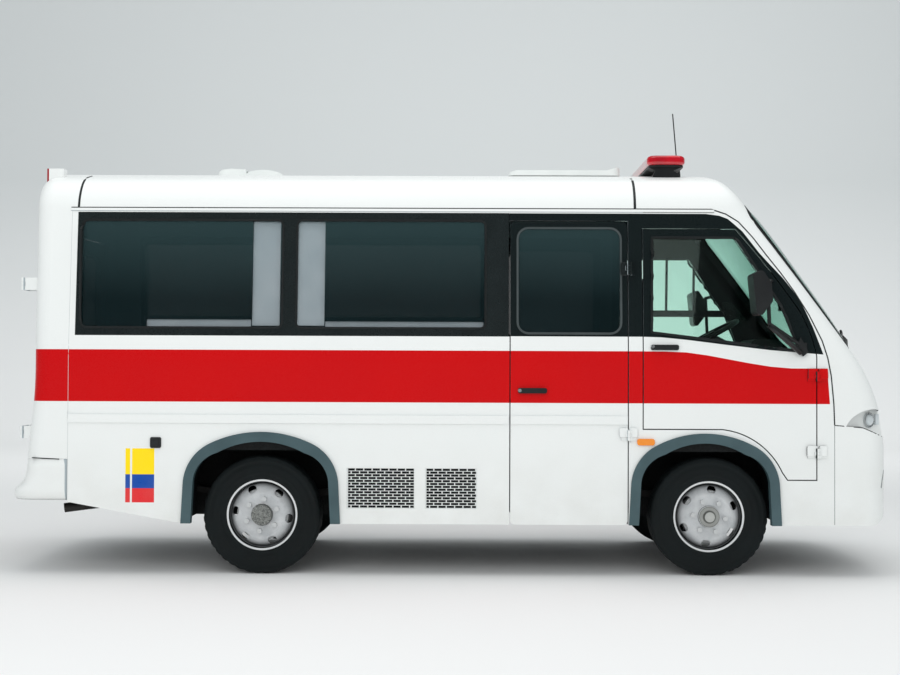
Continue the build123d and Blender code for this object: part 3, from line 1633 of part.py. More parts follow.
def side_leaf(x, z, length, height, ahead):
    """One leaf of an outside hinge on the right side: the door's is behind the pin."""
    y = wall_y(z)
    third = height / 3
    near = barrel_radius + hinge_knuckle_gap
    plate_x = sorted((x + ahead * near, x + ahead * length / 2))
    leaf = block(plate_x, (y - hinge_plate, y + hinge_plate / 2), (z - height / 2, z + height / 2))
    spans = [(z - third / 2 + hinge_knuckle_gap, z + third / 2 - hinge_knuckle_gap)]
    if ahead > 0:
        spans = [(z - height / 2, z - third / 2), (z + third / 2, z + height / 2)]
    for span in spans:
        web_x = sorted((x + ahead * barrel_radius / 2, x + ahead * (near + hinge_plate)))
        web_y = (hinge_axis_y - hinge_plate / 2, hinge_axis_y + hinge_plate / 2)
        link_x = sorted((x + ahead * near, x + ahead * (near + hinge_plate)))
        leaf += block(web_x, web_y, span)
        leaf += block(link_x, (web_y[0], y), span)
    leaf -= Pos(x, hinge_axis_y, z) * Cylinder(barrel_radius, height)
    return leaf + hinge_barrel(x, hinge_axis_y, z, third, ahead < 0)


def wall_y(z):
    """Outer face of the right wall at some height, before the belt is rounded."""
    if z < belt_height:
        return -half_width
    share = (z - belt_height) / (gutter_height - belt_height)
    return -half_width + (half_width - gutter_half) * share


# Door, hinge line, height, length and height of each hinge
hinge_rows = [
    ("front_door", front_door_front, 1272, 125, 62),
    ("front_door", front_door_front, 786, 125, 62),
    ("side_door", side_door_front, 895, 96, 66),
    ("side_door", side_door_front, 1955, 84, 90),
]
for door, x, z, length, height in hinge_rows:
    parts[door] += side_leaf(x, z, length, height, -1)
    parts["cab_side_right"] += side_leaf(x, z, length, height, 1)

rear_pin_x = -2978
rear_pin_y = 900
rear_leaf_reach = 140
rear_hinge_height = 80
rear_hinge_heights = [895, 1848]
rear_leaf_root = 2865


def rear_leaf(side, z, on_door):
    """One leaf of an outside hinge at a rear corner."""
    third = rear_hinge_height / 3
    spans = [(z - third / 2 + hinge_knuckle_gap, z + third / 2 - hinge_knuckle_gap)]
    if not on_door:
        spans = [(z - rear_hinge_height / 2, z - third / 2), (z + third / 2, z + rear_hinge_height / 2)]
    half = hinge_plate / 2
    tall = (z - rear_hinge_height / 2, z + rear_hinge_height / 2)
    near = barrel_radius + hinge_knuckle_gap
    if on_door:
        inner = rear_pin_y - rear_leaf_reach
        leaf = block((rear_pin_x - half, rear_pin_x + half), (inner, rear_pin_y - near), tall)
        leaf += block((rear_pin_x - half, -rear_leaf_root), (inner, inner + hinge_plate), tall)
        for span in spans:
            leaf += block((rear_pin_x - half, rear_pin_x + half), (inner, rear_pin_y), span)
    else:
        leaf = block((rear_pin_x + near, -rear_leaf_root), (rear_pin_y - half, rear_pin_y + half), tall)
        for span in spans:
            leaf += block((rear_pin_x, -rear_leaf_root), (rear_pin_y - half, rear_pin_y + half), span)
    leaf -= Pos(rear_pin_x, rear_pin_y, z) * Cylinder(barrel_radius, rear_hinge_height)
    leaf += hinge_barrel(rear_pin_x, rear_pin_y, z, third, on_door)
    return leaf if side == LEFT else mirror(leaf, Plane.XZ)


for name, side in SIDES.items():
    for z in rear_hinge_heights:
        parts[f"rear_door_{name}"] += rear_leaf(side, z, True)
        parts["rear_frame"] += rear_leaf(side, z, False)

# Handles: bow handle on the front door, recessed pull on the side door
handle_rows = [("front_handle", (1043, 1219), 1452), ("side_handle", (203, 386), 1175)]
handle_height = 34
handle_proud = 22
for name, x, z in handle_rows:
    face = rounded_rectangle(x, (z - handle_height / 2, z + handle_height / 2), handle_height / 3)
    y = wall_y(z)
    keep(name, side_prism(face, (y - handle_proud, y)))


# Write each piece with X = 0 midway between the bumpers
os.makedirs("parts", exist_ok=True)
middle = (front_end + rear_end) / 2
for name, shape in parts.items():
    export_step(Pos(-middle, 0, 0) * shape, f"parts/{name}.step")
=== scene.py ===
"""Looks of the small bus-bodied ambulance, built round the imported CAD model.

Places are written in millimetres as in the CAD source, with X = 0 midway between the axles, and
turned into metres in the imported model's frame by at().
"""
import math

import bmesh
import bpy
from mathutils import Matrix, Vector
from mathutils.bvhtree import BVHTree


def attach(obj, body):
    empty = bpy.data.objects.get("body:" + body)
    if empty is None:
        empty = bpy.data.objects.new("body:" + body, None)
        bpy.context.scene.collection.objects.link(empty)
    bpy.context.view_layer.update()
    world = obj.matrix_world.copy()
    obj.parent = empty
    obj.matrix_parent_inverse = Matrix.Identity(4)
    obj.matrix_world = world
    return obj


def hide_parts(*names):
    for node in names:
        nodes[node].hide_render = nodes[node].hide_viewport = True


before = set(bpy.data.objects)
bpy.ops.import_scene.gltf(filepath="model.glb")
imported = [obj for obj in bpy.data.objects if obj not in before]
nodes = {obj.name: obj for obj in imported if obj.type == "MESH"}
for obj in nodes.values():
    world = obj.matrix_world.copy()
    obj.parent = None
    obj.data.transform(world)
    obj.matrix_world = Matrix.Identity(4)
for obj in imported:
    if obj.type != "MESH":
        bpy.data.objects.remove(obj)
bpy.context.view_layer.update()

# Millimetres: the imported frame's X of mid-wheelbase, half the wheelbase, and the hubs' height
SHIFT = 217.5
HALF_WHEELBASE = 1425
HUB_HEIGHT = 375
RIGHT, LEFT = -1, 1
SIDES = (("right", RIGHT), ("left", LEFT))


def at(x, y, z):
    """A place in millimetres from mid-wheelbase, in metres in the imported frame."""
    return Vector(((x + SHIFT) / 1000, y / 1000, z / 1000))


def x_in(x):
    """A place along X in millimetres from mid-wheelbase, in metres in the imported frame."""
    return (x + SHIFT) / 1000


def linear(code):
    """An sRGB colour written as six hex digits, as linear red, green, blue and alpha."""
    values = [int(code[i:i + 2], 16) / 255 for i in (0, 2, 4)]
    return [v / 12.92 if v <= 0.04045 else ((v + 0.055) / 1.055) ** 2.4 for v in values] + [1.0]


# Materials

# Width in metres over which one colour turns into the next
SOFT_EDGE = 0.0012


class Shader:
    """A Principled material, with short calls for the nodes that feed it."""

    def __init__(self, name, **sockets):
        self.material = bpy.data.materials.new(name)
        self.material.use_nodes = True
        self.tree = self.material.node_tree
        self.tree.nodes.clear()
        out = self.add("ShaderNodeOutputMaterial")
        self.bsdf = self.add("ShaderNodeBsdfPrincipled")
        self.tree.links.new(self.bsdf.outputs[0], out.inputs[0])
        self.place = self.add("ShaderNodeTexCoord").outputs["Object"]
        self.x, self.y, self.z = self.add("ShaderNodeSeparateXYZ", self.place).outputs
        self.facing = self.place.node.outputs["Normal"]
        for socket, value in sockets.items():
            self.set(socket.replace("_", " "), value)

    def add(self, kind, *inputs, **settings):
        node = self.tree.nodes.new(kind)
        for key, value in settings.items():
            setattr(node, key, value)
        for socket, value in zip(node.inputs, inputs):
            self.plug(socket, value)
        return node

    def plug(self, socket, value):
        if isinstance(value, bpy.types.NodeSocket):
            self.tree.links.new(value, socket)
        else:
            socket.default_value = value

    def set(self, name, value):
        """Sets or links one of the shader's own sockets."""
        self.plug(self.bsdf.inputs[name], value)

    def math(self, operation, a, b=0.0):
        return self.add("ShaderNodeMath", a, b, operation=operation).outputs[0]

    def map(self, value, low, high, first, last):
        """Maps the range from low to high onto first to last, and stops at both ends."""
        node = self.add("ShaderNodeMapRange", value, low, high, first, last, clamp=True)
        return node.outputs[0]

    def waves(self, value, rate):
        """A sine over a value in metres, at a rate in radians per metre."""
        return self.math("SINE", self.math("MULTIPLY", value, rate))

    def above(self, value, edge, soft=SOFT_EDGE):
        """1 where value is above the edge and 0 below it, over a narrow border."""
        apart = self.math("SUBTRACT", value, edge)
        ramp = self.add(
            "ShaderNodeMath", apart, 1 / soft, 0.5, operation="MULTIPLY_ADD", use_clamp=True
        )
        return ramp.outputs[0]

    def between(self, value, low, high):
        return self.math("MULTIPLY", self.above(value, low), self.above(high, value))

    def both(self, *masks):
        """1 where every mask is 1."""
        product = masks[0]
        for mask in masks[1:]:
            product = self.math("MULTIPLY", product, mask)
        return product

    def inward(self):
        """1 on faces that look towards the middle of the body."""
        apart = self.add(
            "ShaderNodeVectorMath", self.place, BODY_MIDDLE, operation="SUBTRACT"
        ).outputs[0]
        away = self.add(
            "ShaderNodeVectorMath", self.facing, apart, operation="DOT_PRODUCT"
        ).outputs["Value"]
        return self.above(0.0, away, 0.02)

    def radius(self):
        """Distance from the axis of the nearest wheel."""
        apart = self.math("ABSOLUTE", self.math("SUBTRACT", self.x, SHIFT / 1000))
        run = self.math("SUBTRACT", apart, HALF_WHEELBASE / 1000)
        rise = self.math("SUBTRACT", self.z, HUB_HEIGHT / 1000)
        squares = [self.math("MULTIPLY", side, side) for side in (run, rise)]
        return self.math("SQRT", self.math("ADD", *squares))

    def mix(self, factor, a, b):
        """Colour a where factor is 0 and b where it is 1."""
        node = self.add("ShaderNodeMix", data_type="RGBA")
        # The node's colour sockets come after those for plain values and vectors
        self.plug(node.inputs[0], factor)
        self.plug(node.inputs[6], a)
        self.plug(node.inputs[7], b)
        return node.outputs[2]

    def curve(self, value, points):
        """A value looked up on straight runs between points (place, result)."""
        low, high = points[0][0], points[-1][0]
        least = min(p[1] for p in points)
        most = max(p[1] for p in points)
        node = self.add("ShaderNodeFloatCurve", 1.0, self.map(value, low, high, 0.0, 1.0))
        line = node.mapping.curves[0]
        spots = [((p[0] - low) / (high - low), (p[1] - least) / (most - least)) for p in points]
        for spot in spots[1:-1]:
            line.points.new(*spot)
        line.points[0].location = spots[0]
        line.points[-1].location = spots[-1]
        for point in line.points:
            point.handle_type = "VECTOR"
        node.mapping.update()
        return self.map(node.outputs[0], 0.0, 1.0, least, most)

    def noise(self, scale, detail):
        node = self.add("ShaderNodeTexNoise")
        self.plug(node.inputs["Vector"], self.place)
        self.plug(node.inputs["Scale"], scale)
        self.plug(node.inputs["Detail"], detail)
        return node.outputs[0]

    def spread(self, value, low, high):
        """Maps noise, most of which lies between 0.3 and 0.7, onto a range."""
        return self.map(value, 0.3, 0.7, low, high)

    def bump(self, height, distance, strength):
        node = self.add("ShaderNodeBump")
        self.plug(node.inputs["Height"], height)
        self.plug(node.inputs["Distance"], distance)
        self.plug(node.inputs["Strength"], strength)
        self.set("Normal", node.outputs[0])


def give(shader, *names):
    """Puts a material on CAD nodes."""
    for name in names:
        data = nodes[name].data
        data.materials.clear()
        data.materials.append(shader.material)


WHITE = linear("e7e9e7")
RED = linear("c80004")
BAND = linear("121b1c")
LINING = linear("a6b0b4")
CAB_LINING = linear("2a3133")
# The cab starts at this X in millimetres, and inner faces look at this place in metres
CAB_REAR = 1000
BODY_MIDDLE = (0.2, 0.0, 1.3)

# Black band: lower edge along the front door, front edge down the pillar as (Z, X), top and rear
BAND_FOOT = [(988, 1519), (1108, 1516), (1268, 1501), (1535, 1468), (1801, 1437), (2127, 1411)]
BAND_NOSE = [
    (1411, 2135), (1574, 2075), (1681, 2029), (1774, 1982), (1895, 1889), (1981, 1808),
    (2055, 1741), (2195, 1634), (2242, 1581), (2276, 1541), (2296, 1487), (2306, 1407),
]
BAND_TOP, BAND_REAR = 2307, -2612
# Red stripe: upper edge, lower edge, and the front edge's foot and lean
STRIPE_TOP = [
    (988, 1427), (1134, 1426), (1268, 1421), (1401, 1403), (1667, 1354), (1800, 1333), (1933, 1322),
]
STRIPE_FOOT, STRIPE_FRONT, STRIPE_LEAN = 1097, 2176, -0.076
# Colour block: rear strip, gap and main part along X, and the edges of its three colours
BLOCK_X = (-2282, -2252, -2240, -2099)
BLOCK_Z = (458, 548, 636, 800)
# Band across the rear doors: it lies behind this X, between these heights, inside this half width
REAR_BAND_X, REAR_BAND_Z, REAR_BAND_HALF = -2700, (1515, 2185), 765


def paint(name, band=True, stripe=True, block=False, rear_band=False):
    """Body paint: white, with the red stripe, black window band and colour block by place."""
    s = Shader(name)
    cloud = s.noise(1.7, 2.0)
    speck = s.noise(260.0, 2.0)
    dust = s.math("MULTIPLY", s.above(0.62, s.z, 0.5), s.spread(s.noise(5.0, 5.0), 0.0, 0.16))
    colour = s.mix(s.spread(cloud, 0.0, 0.22), WHITE, linear("e2e5e4"))
    if stripe:
        foot = STRIPE_FOOT / 1000
        top = s.curve(s.x, [(x_in(x), z / 1000) for x, z in STRIPE_TOP])
        lean = s.math("MULTIPLY", s.math("SUBTRACT", s.z, foot), STRIPE_LEAN)
        front = s.math("ADD", lean, x_in(STRIPE_FRONT))
        red = s.both(s.above(s.z, foot), s.above(top, s.z), s.above(front, s.x))
        colour = s.mix(red, colour, s.mix(s.spread(cloud, 0.0, 0.3), RED, linear("bd000c")))
    if block:
        rear, gap, start, front = (x_in(x) for x in BLOCK_X)
        low, blue_foot, yellow_foot, high = (z / 1000 for z in BLOCK_Z)
        across = s.math("ADD", s.between(s.x, rear, gap), s.between(s.x, start, front))
        inside = s.both(across, s.between(s.z, low, high))
        bands = s.mix(s.above(s.z, blue_foot), linear("e02a30"), linear("0048a4"))
        bands = s.mix(s.above(s.z, yellow_foot), bands, linear("ffdc10"))
        colour = s.mix(inside, colour, bands)
    if band:
        foot = s.curve(s.x, [(x_in(x), z / 1000) for x, z in BAND_FOOT])
        nose = s.curve(s.z, [(z / 1000, x_in(x)) for z, x in BAND_NOSE])
        black = s.both(
            s.above(s.z, foot), s.above(BAND_TOP / 1000, s.z), s.above(nose, s.x),
            s.above(s.x, x_in(BAND_REAR)),
        )
        colour = s.mix(black, colour, BAND)
    if rear_band:
        low, high = (z / 1000 for z in REAR_BAND_Z)
        black = s.both(
            s.above(x_in(REAR_BAND_X), s.x), s.between(s.z, low, high),
            s.above(REAR_BAND_HALF / 1000, s.math("ABSOLUTE", s.y)),
        )
        colour = s.mix(black, colour, BAND)
    colour = s.mix(dust, colour, linear("a8a294"))
    colour = s.mix(s.inward(), colour, s.mix(s.above(s.x, x_in(CAB_REAR)), LINING, CAB_LINING))
    s.set("Base Color", colour)
    s.set("Roughness", s.spread(speck, 0.24, 0.34))
    s.set("Specular IOR Level", 0.2)
    height = s.math("ADD", s.math("MULTIPLY", cloud, 0.6), s.math("MULTIPLY", speck, 0.006))
    s.bump(height, 0.004, 0.5)
    return s


def plain(name, code, other, rough, metal=0.0, grain=60.0, depth=0.0003):
    """A finish with mottled colour and roughness and a fine bump."""
    s = Shader(name, Metallic=metal)
    grit = s.noise(grain, 4.0)
    wide = s.noise(6.0, 3.0)
    s.set("Base Color", s.mix(s.spread(wide, 0.0, 1.0), linear(code), linear(other)))
    s.set("Roughness", s.spread(grit, rough - 0.08, rough + 0.08))
    s.bump(grit, depth, 0.6)
    return s


# Side view of the pale lining that shows through the right windows
LININGS = {
    "rear_post": ((-1490, -1312), (1581, 2250)),
    "front_post": ((-1202, -1028), (1581, 2250)),
    "rear_ledge": ((-2160, -1494), (1575, 1620)),
    "front_ledge": ((-1024, -16), (1575, 1610)),
}


def tinted(name, see_through=0.0, dark=True, clear_from=None, green_code="e0f8ee"):
    """Window glass: dark film that hides most of what is behind it, or clear green glass.

    With clear_from, the film ends there along X and clear glass follows in front of it.
    """
    s = Shader(name, Roughness=0.02, IOR=1.33)
    wide = s.noise(0.9, 2.0)
    film = s.mix(s.spread(wide, 0.0, 0.6), linear("0c1a1c"), linear("16272a"))
    # Painted reflection: the film turns lighter towards the top of the windows
    film = s.mix(s.map(s.z, 1.75, 2.27, 0.0, 1.0), film, linear("304446"))
    green = s.mix(s.spread(wide, 0.0, 1.0), linear(green_code), linear("d6f4ea"))
    if clear_from is not None:
        clear = s.above(s.x, clear_from)
        s.set("Base Color", s.mix(clear, film, green))
        s.set("Transmission Weight", clear)
        bare = 0.0
        for x, z in LININGS.values():
            spot = s.both(
                s.between(s.x, x_in(x[0]), x_in(x[1])), s.between(s.z, z[0] / 1000, z[1] / 1000),
                s.above(0.0, s.y),
            )
            bare = s.math("ADD", bare, spot)
        film_share = s.math("SUBTRACT", 1 - see_through, s.math("MULTIPLY", bare, 0.5))
        s.set("Alpha", s.math("MAXIMUM", clear, film_share))
    elif dark:
        s.set("Base Color", film)
        s.set("Alpha", 1 - see_through)
    else:
        s.set("Base Color", green)
        s.set("Transmission Weight", 1.0)
    return s


side_paint = paint("side_paint", block=True)
door_paint = paint("door_paint")
cap_paint = paint("cap_paint", band=False, stripe=False)
rear_paint = paint("rear_paint", band=False)
rear_door_paint = paint("rear_door_paint", band=False, rear_band=True)
band_black = plain("band_black", "111a1b", "172021", 0.3, grain=160.0, depth=0.0001)
give(side_paint, "side_panel_right", "side_panel_left")
give(door_paint, "side_door", "front_door", "cab_side_right", "cab_side_left")
give(cap_paint, "front_panel", "front_bumper", "roof_panel", "rear_bumper")
give(rear_paint, "rear_frame")
give(rear_door_paint, "rear_door_left", "rear_door_right")
give(band_black, "window_frames")

side_glass = tinted("side_glass", 0.3, clear_from=x_in(CAB_REAR))
dark_glass = tinted("dark_glass", 0.22)
cab_glass = tinted("cab_glass", dark=False)
screen_glass = tinted("screen_glass", dark=False, green_code="8fbcae")
give(side_glass, "side_windows")
give(dark_glass, "side_door_glass", "rear_glass_left", "rear_glass_right")
give(cab_glass, "front_door_glass")
give(screen_glass, "windscreen")

give(plain("flare_plastic", "445b60", "3a5055", 0.45, grain=340.0, depth=0.0004), "arch_trims")
rubber = plain("rubber", "171d1e", "101516", 0.62, grain=220.0, depth=0.0003)
seal = plain("window_seal", "454d4e", "3a4243", 0.5, grain=220.0)
line_dark = plain("line_dark", "1c2021", "2a2f30", 0.6, grain=200.0)
line_grey = plain("line_grey", "8d9292", "7f8484", 0.6, grain=200.0)
line_pale = plain("line_pale", "c4c8c7", "b9bdbc", 0.6, grain=200.0)
black_plastic = plain("black_plastic", "1d2021", "15181a", 0.45, grain=420.0, depth=0.0003)
give(black_plastic, "mirror_left", "mirror_right", "front_handle", "side_handle", "light_bar_base")
give(black_plastic, "steering_wheel", "aerial")
# Black for the arch liners, and for sheets of painted shade in the arches and behind the vents
liner_and_shade_black = plain("liner_and_shade_black", "0b0e0f", "101314", 0.85, grain=120.0, depth=0.0006)
lining_pale = plain("lining_pale", "dae6ec", "cbd9e0", 0.5, grain=120.0)
give(
    plain("chassis_black", "0f1011", "161514", 0.6, grain=40.0, depth=0.001),
    "chassis_frame", "fuel_tank", "leaf_springs",
)
give(
    plain("cast_iron", "232323", "2e2a26", 0.7, metal=0.6, grain=90.0, depth=0.0015),
    "front_axle", "rear_axle", "knuckle_left", "knuckle_right", "engine",
)
give(
    plain("exhaust_steel", "2f2d2a", "24221f", 0.55, metal=0.5, grain=50.0, depth=0.0006),
    "exhaust",
)
give(plain("floor_cover", "5a5f62", "4e5356", 0.7, grain=300.0, depth=0.0006), "floor")
give(plain("cabinet_laminate", "c3cfd4", "b6c3c9", 0.35, grain=120.0, depth=0.0001), "cabinets")
give(plain("dash_skin", "33383a", "2a2e30", 0.6, grain=500.0, depth=0.0006), "dashboard")
tube_metal = plain("tube_aluminium", "c8cbcc", "b4b8ba", 0.3, metal=0.95, grain=80.0)
give(tube_metal, "stretcher_frame")
give(plain("hatch_plastic", "e6e9e7", "dde1df", 0.35, grain=90.0), "roof_hatch", "roof_vent")
grille_metal = plain("grille_metal", "e4e7e5", "d9dcda", 0.4, grain=120.0)
give(grille_metal, "vent_grilles")


def wheel_silver():
    """Painted steel wheel: brake dust specks, painted shade in the well, painted highlight on the
    lip.
    """
    s = Shader("wheel_silver", Metallic=0.25)
    grit = s.noise(190.0, 3.0)
    wide = s.noise(14.0, 4.0)
    colour = s.mix(s.spread(wide, 0.0, 1.0), linear("d4d6d7"), linear("b8bbbd"))
    colour = s.mix(s.math("MULTIPLY", s.above(grit, 0.66, 0.1), 0.35), colour, linear("6d6862"))
    radius = s.radius()
    # Painted shade, deepening outward across the disc into the rim's well
    shade = s.curve(radius, [
        (0.06, 0.0), (0.135, 0.02), (0.165, 0.18), (0.19, 0.42), (0.203, 0.9), (0.212, 0.7),
        (0.215, 0.1), (0.24, 0.0),
    ])
    colour = s.mix(shade, colour, linear("5c5f60"))
    # Painted highlight: a bright band on the rim's lip
    s.set("Base Color", s.mix(s.above(radius, 0.2145), colour, linear("e4e6e6")))
    s.set("Roughness", s.spread(grit, 0.3, 0.46))
    s.bump(grit, 0.0005, 0.5)
    return s


give(wheel_silver(), "rim_front_left", "rim_front_right", "rim_rear_left", "rim_rear_right")


def hub_cast():
    """Hubs: silver nuts, a front cap with painted shade at its steps and a rough cast rear cap."""
    s = Shader("hub_cast", Metallic=0.3)
    grit = s.noise(150.0, 5.0)
    radius = s.radius()
    cap = s.above(0.0655, radius)
    rough = s.mix(s.spread(grit, 0.0, 1.0), linear("3c3f3d"), linear("a3a5a1"))
    # Painted shade: dark rings at the front cap's steps, lighter between them
    steps = s.curve(radius, [
        (0.0, 0.1), (0.03, 0.2), (0.034, 1.0), (0.04, 0.75), (0.045, 0.35), (0.06, 0.5),
        (0.066, 1.0), (0.07, 0.0), (0.08, 0.0),
    ])
    step_shade = s.mix(steps, linear("c9cac6"), linear("565955"))
    cap_colour = s.mix(s.above(s.x, 0.0), rough, step_shade)
    s.set("Base Color", s.mix(cap, linear("cfd1d1"), cap_colour))
    s.set("Roughness", s.spread(grit, 0.5, 0.75))
    s.bump(grit, 0.003, 0.8)
    return s


give(hub_cast(), "hub_front_left", "hub_front_right", "hub_rear_left", "hub_rear_right")


def lens_red():
    s = Shader("lens_red", Roughness=0.12, IOR=1.49)
    wide = s.noise(9.0, 2.0)
    s.set("Base Color", s.mix(s.spread(wide, 0.0, 0.6), linear("c4001c"), linear("8d0014")))
    s.set("Coat Weight", 1.0)
    s.set("Coat Roughness", 0.03)
    s.set("Subsurface Weight", 0.15)
    s.bump(s.waves(s.y, 300.0), 0.0006, 0.35)
    return s


give(lens_red(), "light_bar_lens")


def lamp_lenses():
    """One material for all lamps: clear in front, red behind, amber at the side, by place."""
    s = Shader("lamp_lenses", Roughness=0.14, IOR=1.5)
    rear = s.above(x_in(-2600), s.x)
    side = s.both(s.between(s.x, x_in(900), x_in(1200)), s.above(1.2, s.z))
    high = s.both(rear, s.above(s.z, 2.4))
    colour = s.mix(rear, linear("cfd6d8"), linear("b00a12"))
    colour = s.mix(side, colour, linear("ef8a12"))
    lens = s.above(x_in(-2864), s.x)
    colour = s.mix(high, colour, s.mix(lens, linear("eceeec"), linear("9c1420")))
    s.set("Base Color", colour)
    s.set("Coat Weight", 1.0)
    s.set("Coat Roughness", 0.04)
    s.bump(s.waves(s.y, 700.0), 0.0005, 0.4)
    return s


give(lamp_lenses(), "lamps")


# Shapes


def piece(name, data, shader, body):
    """A mesh as a piece of its own, on a body and with one of the record's finishes."""
    obj = bpy.data.objects.new(name, data)
    bpy.context.scene.collection.objects.link(obj)
    data.materials.append(shader.material)
    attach(obj, body)
    return obj


def mesh_of(name, verts, faces, smooth=True):
    data = bpy.data.meshes.new(name)
    data.from_pydata([tuple(v) for v in verts], [], faces)
    data.update()
    for polygon in data.polygons:
        polygon.use_smooth = smooth
    return data


def tube_faces(rings, n, closed):
    """Faces through rings of n points, its ends filled unless the tube closes on itself."""
    faces = []
    for i in range(rings if closed else rings - 1):
        a, b = i * n, (i + 1) % rings * n
        for k in range(n):
            m = (k + 1) % n
            faces.append((a + k, a + m, b + m, b + k))
    if not closed:
        faces.append(tuple(reversed(range(n))))
        faces.append(tuple(range((rings - 1) * n, rings * n)))
    return faces


def sheet_faces(rows, n):
    """Faces of an open sheet through rows of n points."""
    return [
        (i * n + j, (i + 1) * n + j, (i + 1) * n + j + 1, i * n + j + 1)
        for i in range(rows - 1) for j in range(n - 1)
    ]


def flat_mesh(name, verts, faces):
    """A closed mesh with flat faces, all turned outward."""
    data = mesh_of(name, verts, faces, smooth=False)
    fixed = bmesh.new()
    fixed.from_mesh(data)
    bmesh.ops.recalc_face_normals(fixed, faces=fixed.faces)
    fixed.to_mesh(data)
    fixed.free()
    return data


def add_wall(obj, thickness):
    """Gives an open skin a wall, in metres, on its inner side."""
    wall = obj.modifiers.new("wall", "SOLIDIFY")
    wall.thickness = thickness
    wall.offset = -1.0


def surface_of(*names, extra=()):
    """A search tree over the outer faces of CAD nodes and of further meshes."""
    whole = bmesh.new()
    for data in [nodes[name].data for name in names] + list(extra):
        whole.from_mesh(data)
    tree = BVHTree.FromBMesh(whole)
    whole.free()
    return tree


DOOR_NODES = ["side_door", "side_door_glass", "front_door", "front_door_glass"]
side_trees = {}
for label, side in SIDES:
    side_trees[side] = surface_of(
        f"side_panel_{label}", f"cab_side_{label}", "window_frames", "side_windows",
        *(DOOR_NODES if side == RIGHT else []), "front_panel", "front_bumper", "roof_panel",
        "rear_frame", "rear_bumper", "windscreen",
    )

# Y where a look at the side starts, and the skin's Y where it finds nothing
SIDE_FAR, SIDE_SKIN = 2000, 1030
# A hit nearer to the middle than this, in metres, went through an opening
SIDE_LEAST = 0.5


def on_side(x, z, side):
    """Where a side-view point in millimetres lies on the body's skin, and the skin's normal."""
    hit, normal, _, _ = side_trees[side].ray_cast(at(x, side * SIDE_FAR, z), Vector((0, -side, 0)))
    if hit is None or abs(hit.y) < SIDE_LEAST:
        return at(x, side * SIDE_SKIN, z), Vector((0, side, 0))
    if normal.y * side < 0:
        normal = -normal
    return hit, normal


def spaced(points, step, closed):
    """Points at about even steps along straight runs."""
    runs = list(zip(points, points[1:] + points[:1])) if closed else list(zip(points, points[1:]))
    spots = []
    for a, b in runs:
        count = max(1, round(math.dist(a, b) / step))
        for k in range(count):
            share = k / count
            spots.append(tuple(p + (q - p) * share for p, q in zip(a, b)))
    if not closed:
        spots.append(tuple(points[-1]))
    return spots


# A strip's section as shares of its width and height, its foot's depth below the skin in metres,
# and the step along its line in millimetres
STRIP_SECTION = [(-0.5, 0.0), (-0.5, 0.6), (-0.38, 1.0), (0.38, 1.0), (0.5, 0.6), (0.5, 0.0)]
STRIP_SINK = 0.0005
STRIP_STEP = 28


def bead(name, spots, width, height, shader, body, closed):
    """A low strip, in millimetres, along places (point, normal) on the skin."""
    width, height = width / 1000, height / 1000
    verts = []
    count = len(spots)
    for i, (point, normal) in enumerate(spots):
        before = spots[(i - 1) % count][0] if (closed or i > 0) else point
        after = spots[(i + 1) % count][0] if (closed or i < count - 1) else point
        along = (after - before).normalized()
        across = along.cross(normal).normalized()
        for u, v in STRIP_SECTION:
            verts.append(point + across * (u * width) + normal * (v * height - STRIP_SINK))
    faces = tube_faces(count, len(STRIP_SECTION), closed)
    return piece(name, flat_mesh(name, verts, faces), shader, body)


def side_bead(name, line, width, height, shader, body, side, closed=False):
    """A strip along a side-view line in millimetres."""
    spots = [on_side(x, z, side) for x, z in spaced(line, STRIP_STEP, closed)]
    return bead(name, spots, width, height, shader, body, closed)


def rounded_loop(x, z, radius, turns=5):
    """A rectangle with round corners as a closed list of side-view points."""
    corners = [
        (x[1] - radius, z[1] - radius, 0), (x[0] + radius, z[1] - radius, 90),
        (x[0] + radius, z[0] + radius, 180), (x[1] - radius, z[0] + radius, 270),
    ]
    points = []
    for cx, cz, start in corners:
        for k in range(turns + 1):
            angle = math.radians(start + 90 * k / turns)
            points.append((cx + radius * math.cos(angle), cz + radius * math.sin(angle)))
    return points


def raised(name, x, z, radius, height, shader, body, side=RIGHT, crown=0.35):
    """A low moulded pad with round corners and a softened edge on the side of the body."""
    middle = ((x[0] + x[1]) / 2, (z[0] + z[1]) / 2)
    centre, normal = on_side(*middle, side)
    along = Vector((1, 0, 0)) - normal * normal.x
    along.normalize()
    upward = normal.cross(along) * (-1 if normal.cross(along).z < 0 else 1)
    loop = rounded_loop(x, z, radius)
    rings = ((1.0, -1.0), (1.0, height * (1 - crown)), (1.0 - crown * 0.3, height))
    verts = []
    for share, rise in rings:
        for px, pz in loop:
            run, lift = (px - middle[0]) * share / 1000, (pz - middle[1]) * share / 1000
            verts.append(centre + along * run + upward * lift + normal * (rise / 1000))
    faces = tube_faces(len(rings), len(loop), closed=False)
    return piece(name, flat_mesh(name, verts, faces), shader, body)


def rod(name, points, radius, body, sides=8):
    """A round black rod through places in metres."""
    verts = []
    for i, point in enumerate(points):
        before = points[max(i - 1, 0)]
        after = points[min(i + 1, len(points) - 1)]
        along = (after - before).normalized()
        helper = Vector((0, 0, 1)) if abs(along.z) < 0.9 else Vector((1, 0, 0))
        u = along.cross(helper).normalized()
        v = along.cross(u)
        for k in range(sides):
            angle = 2 * math.pi * k / sides
            verts.append(point + u * (radius * math.cos(angle)) + v * (radius * math.sin(angle)))
    data = mesh_of(name, verts, tube_faces(len(points), sides, closed=False))
    return piece(name, data, black_plastic, body)


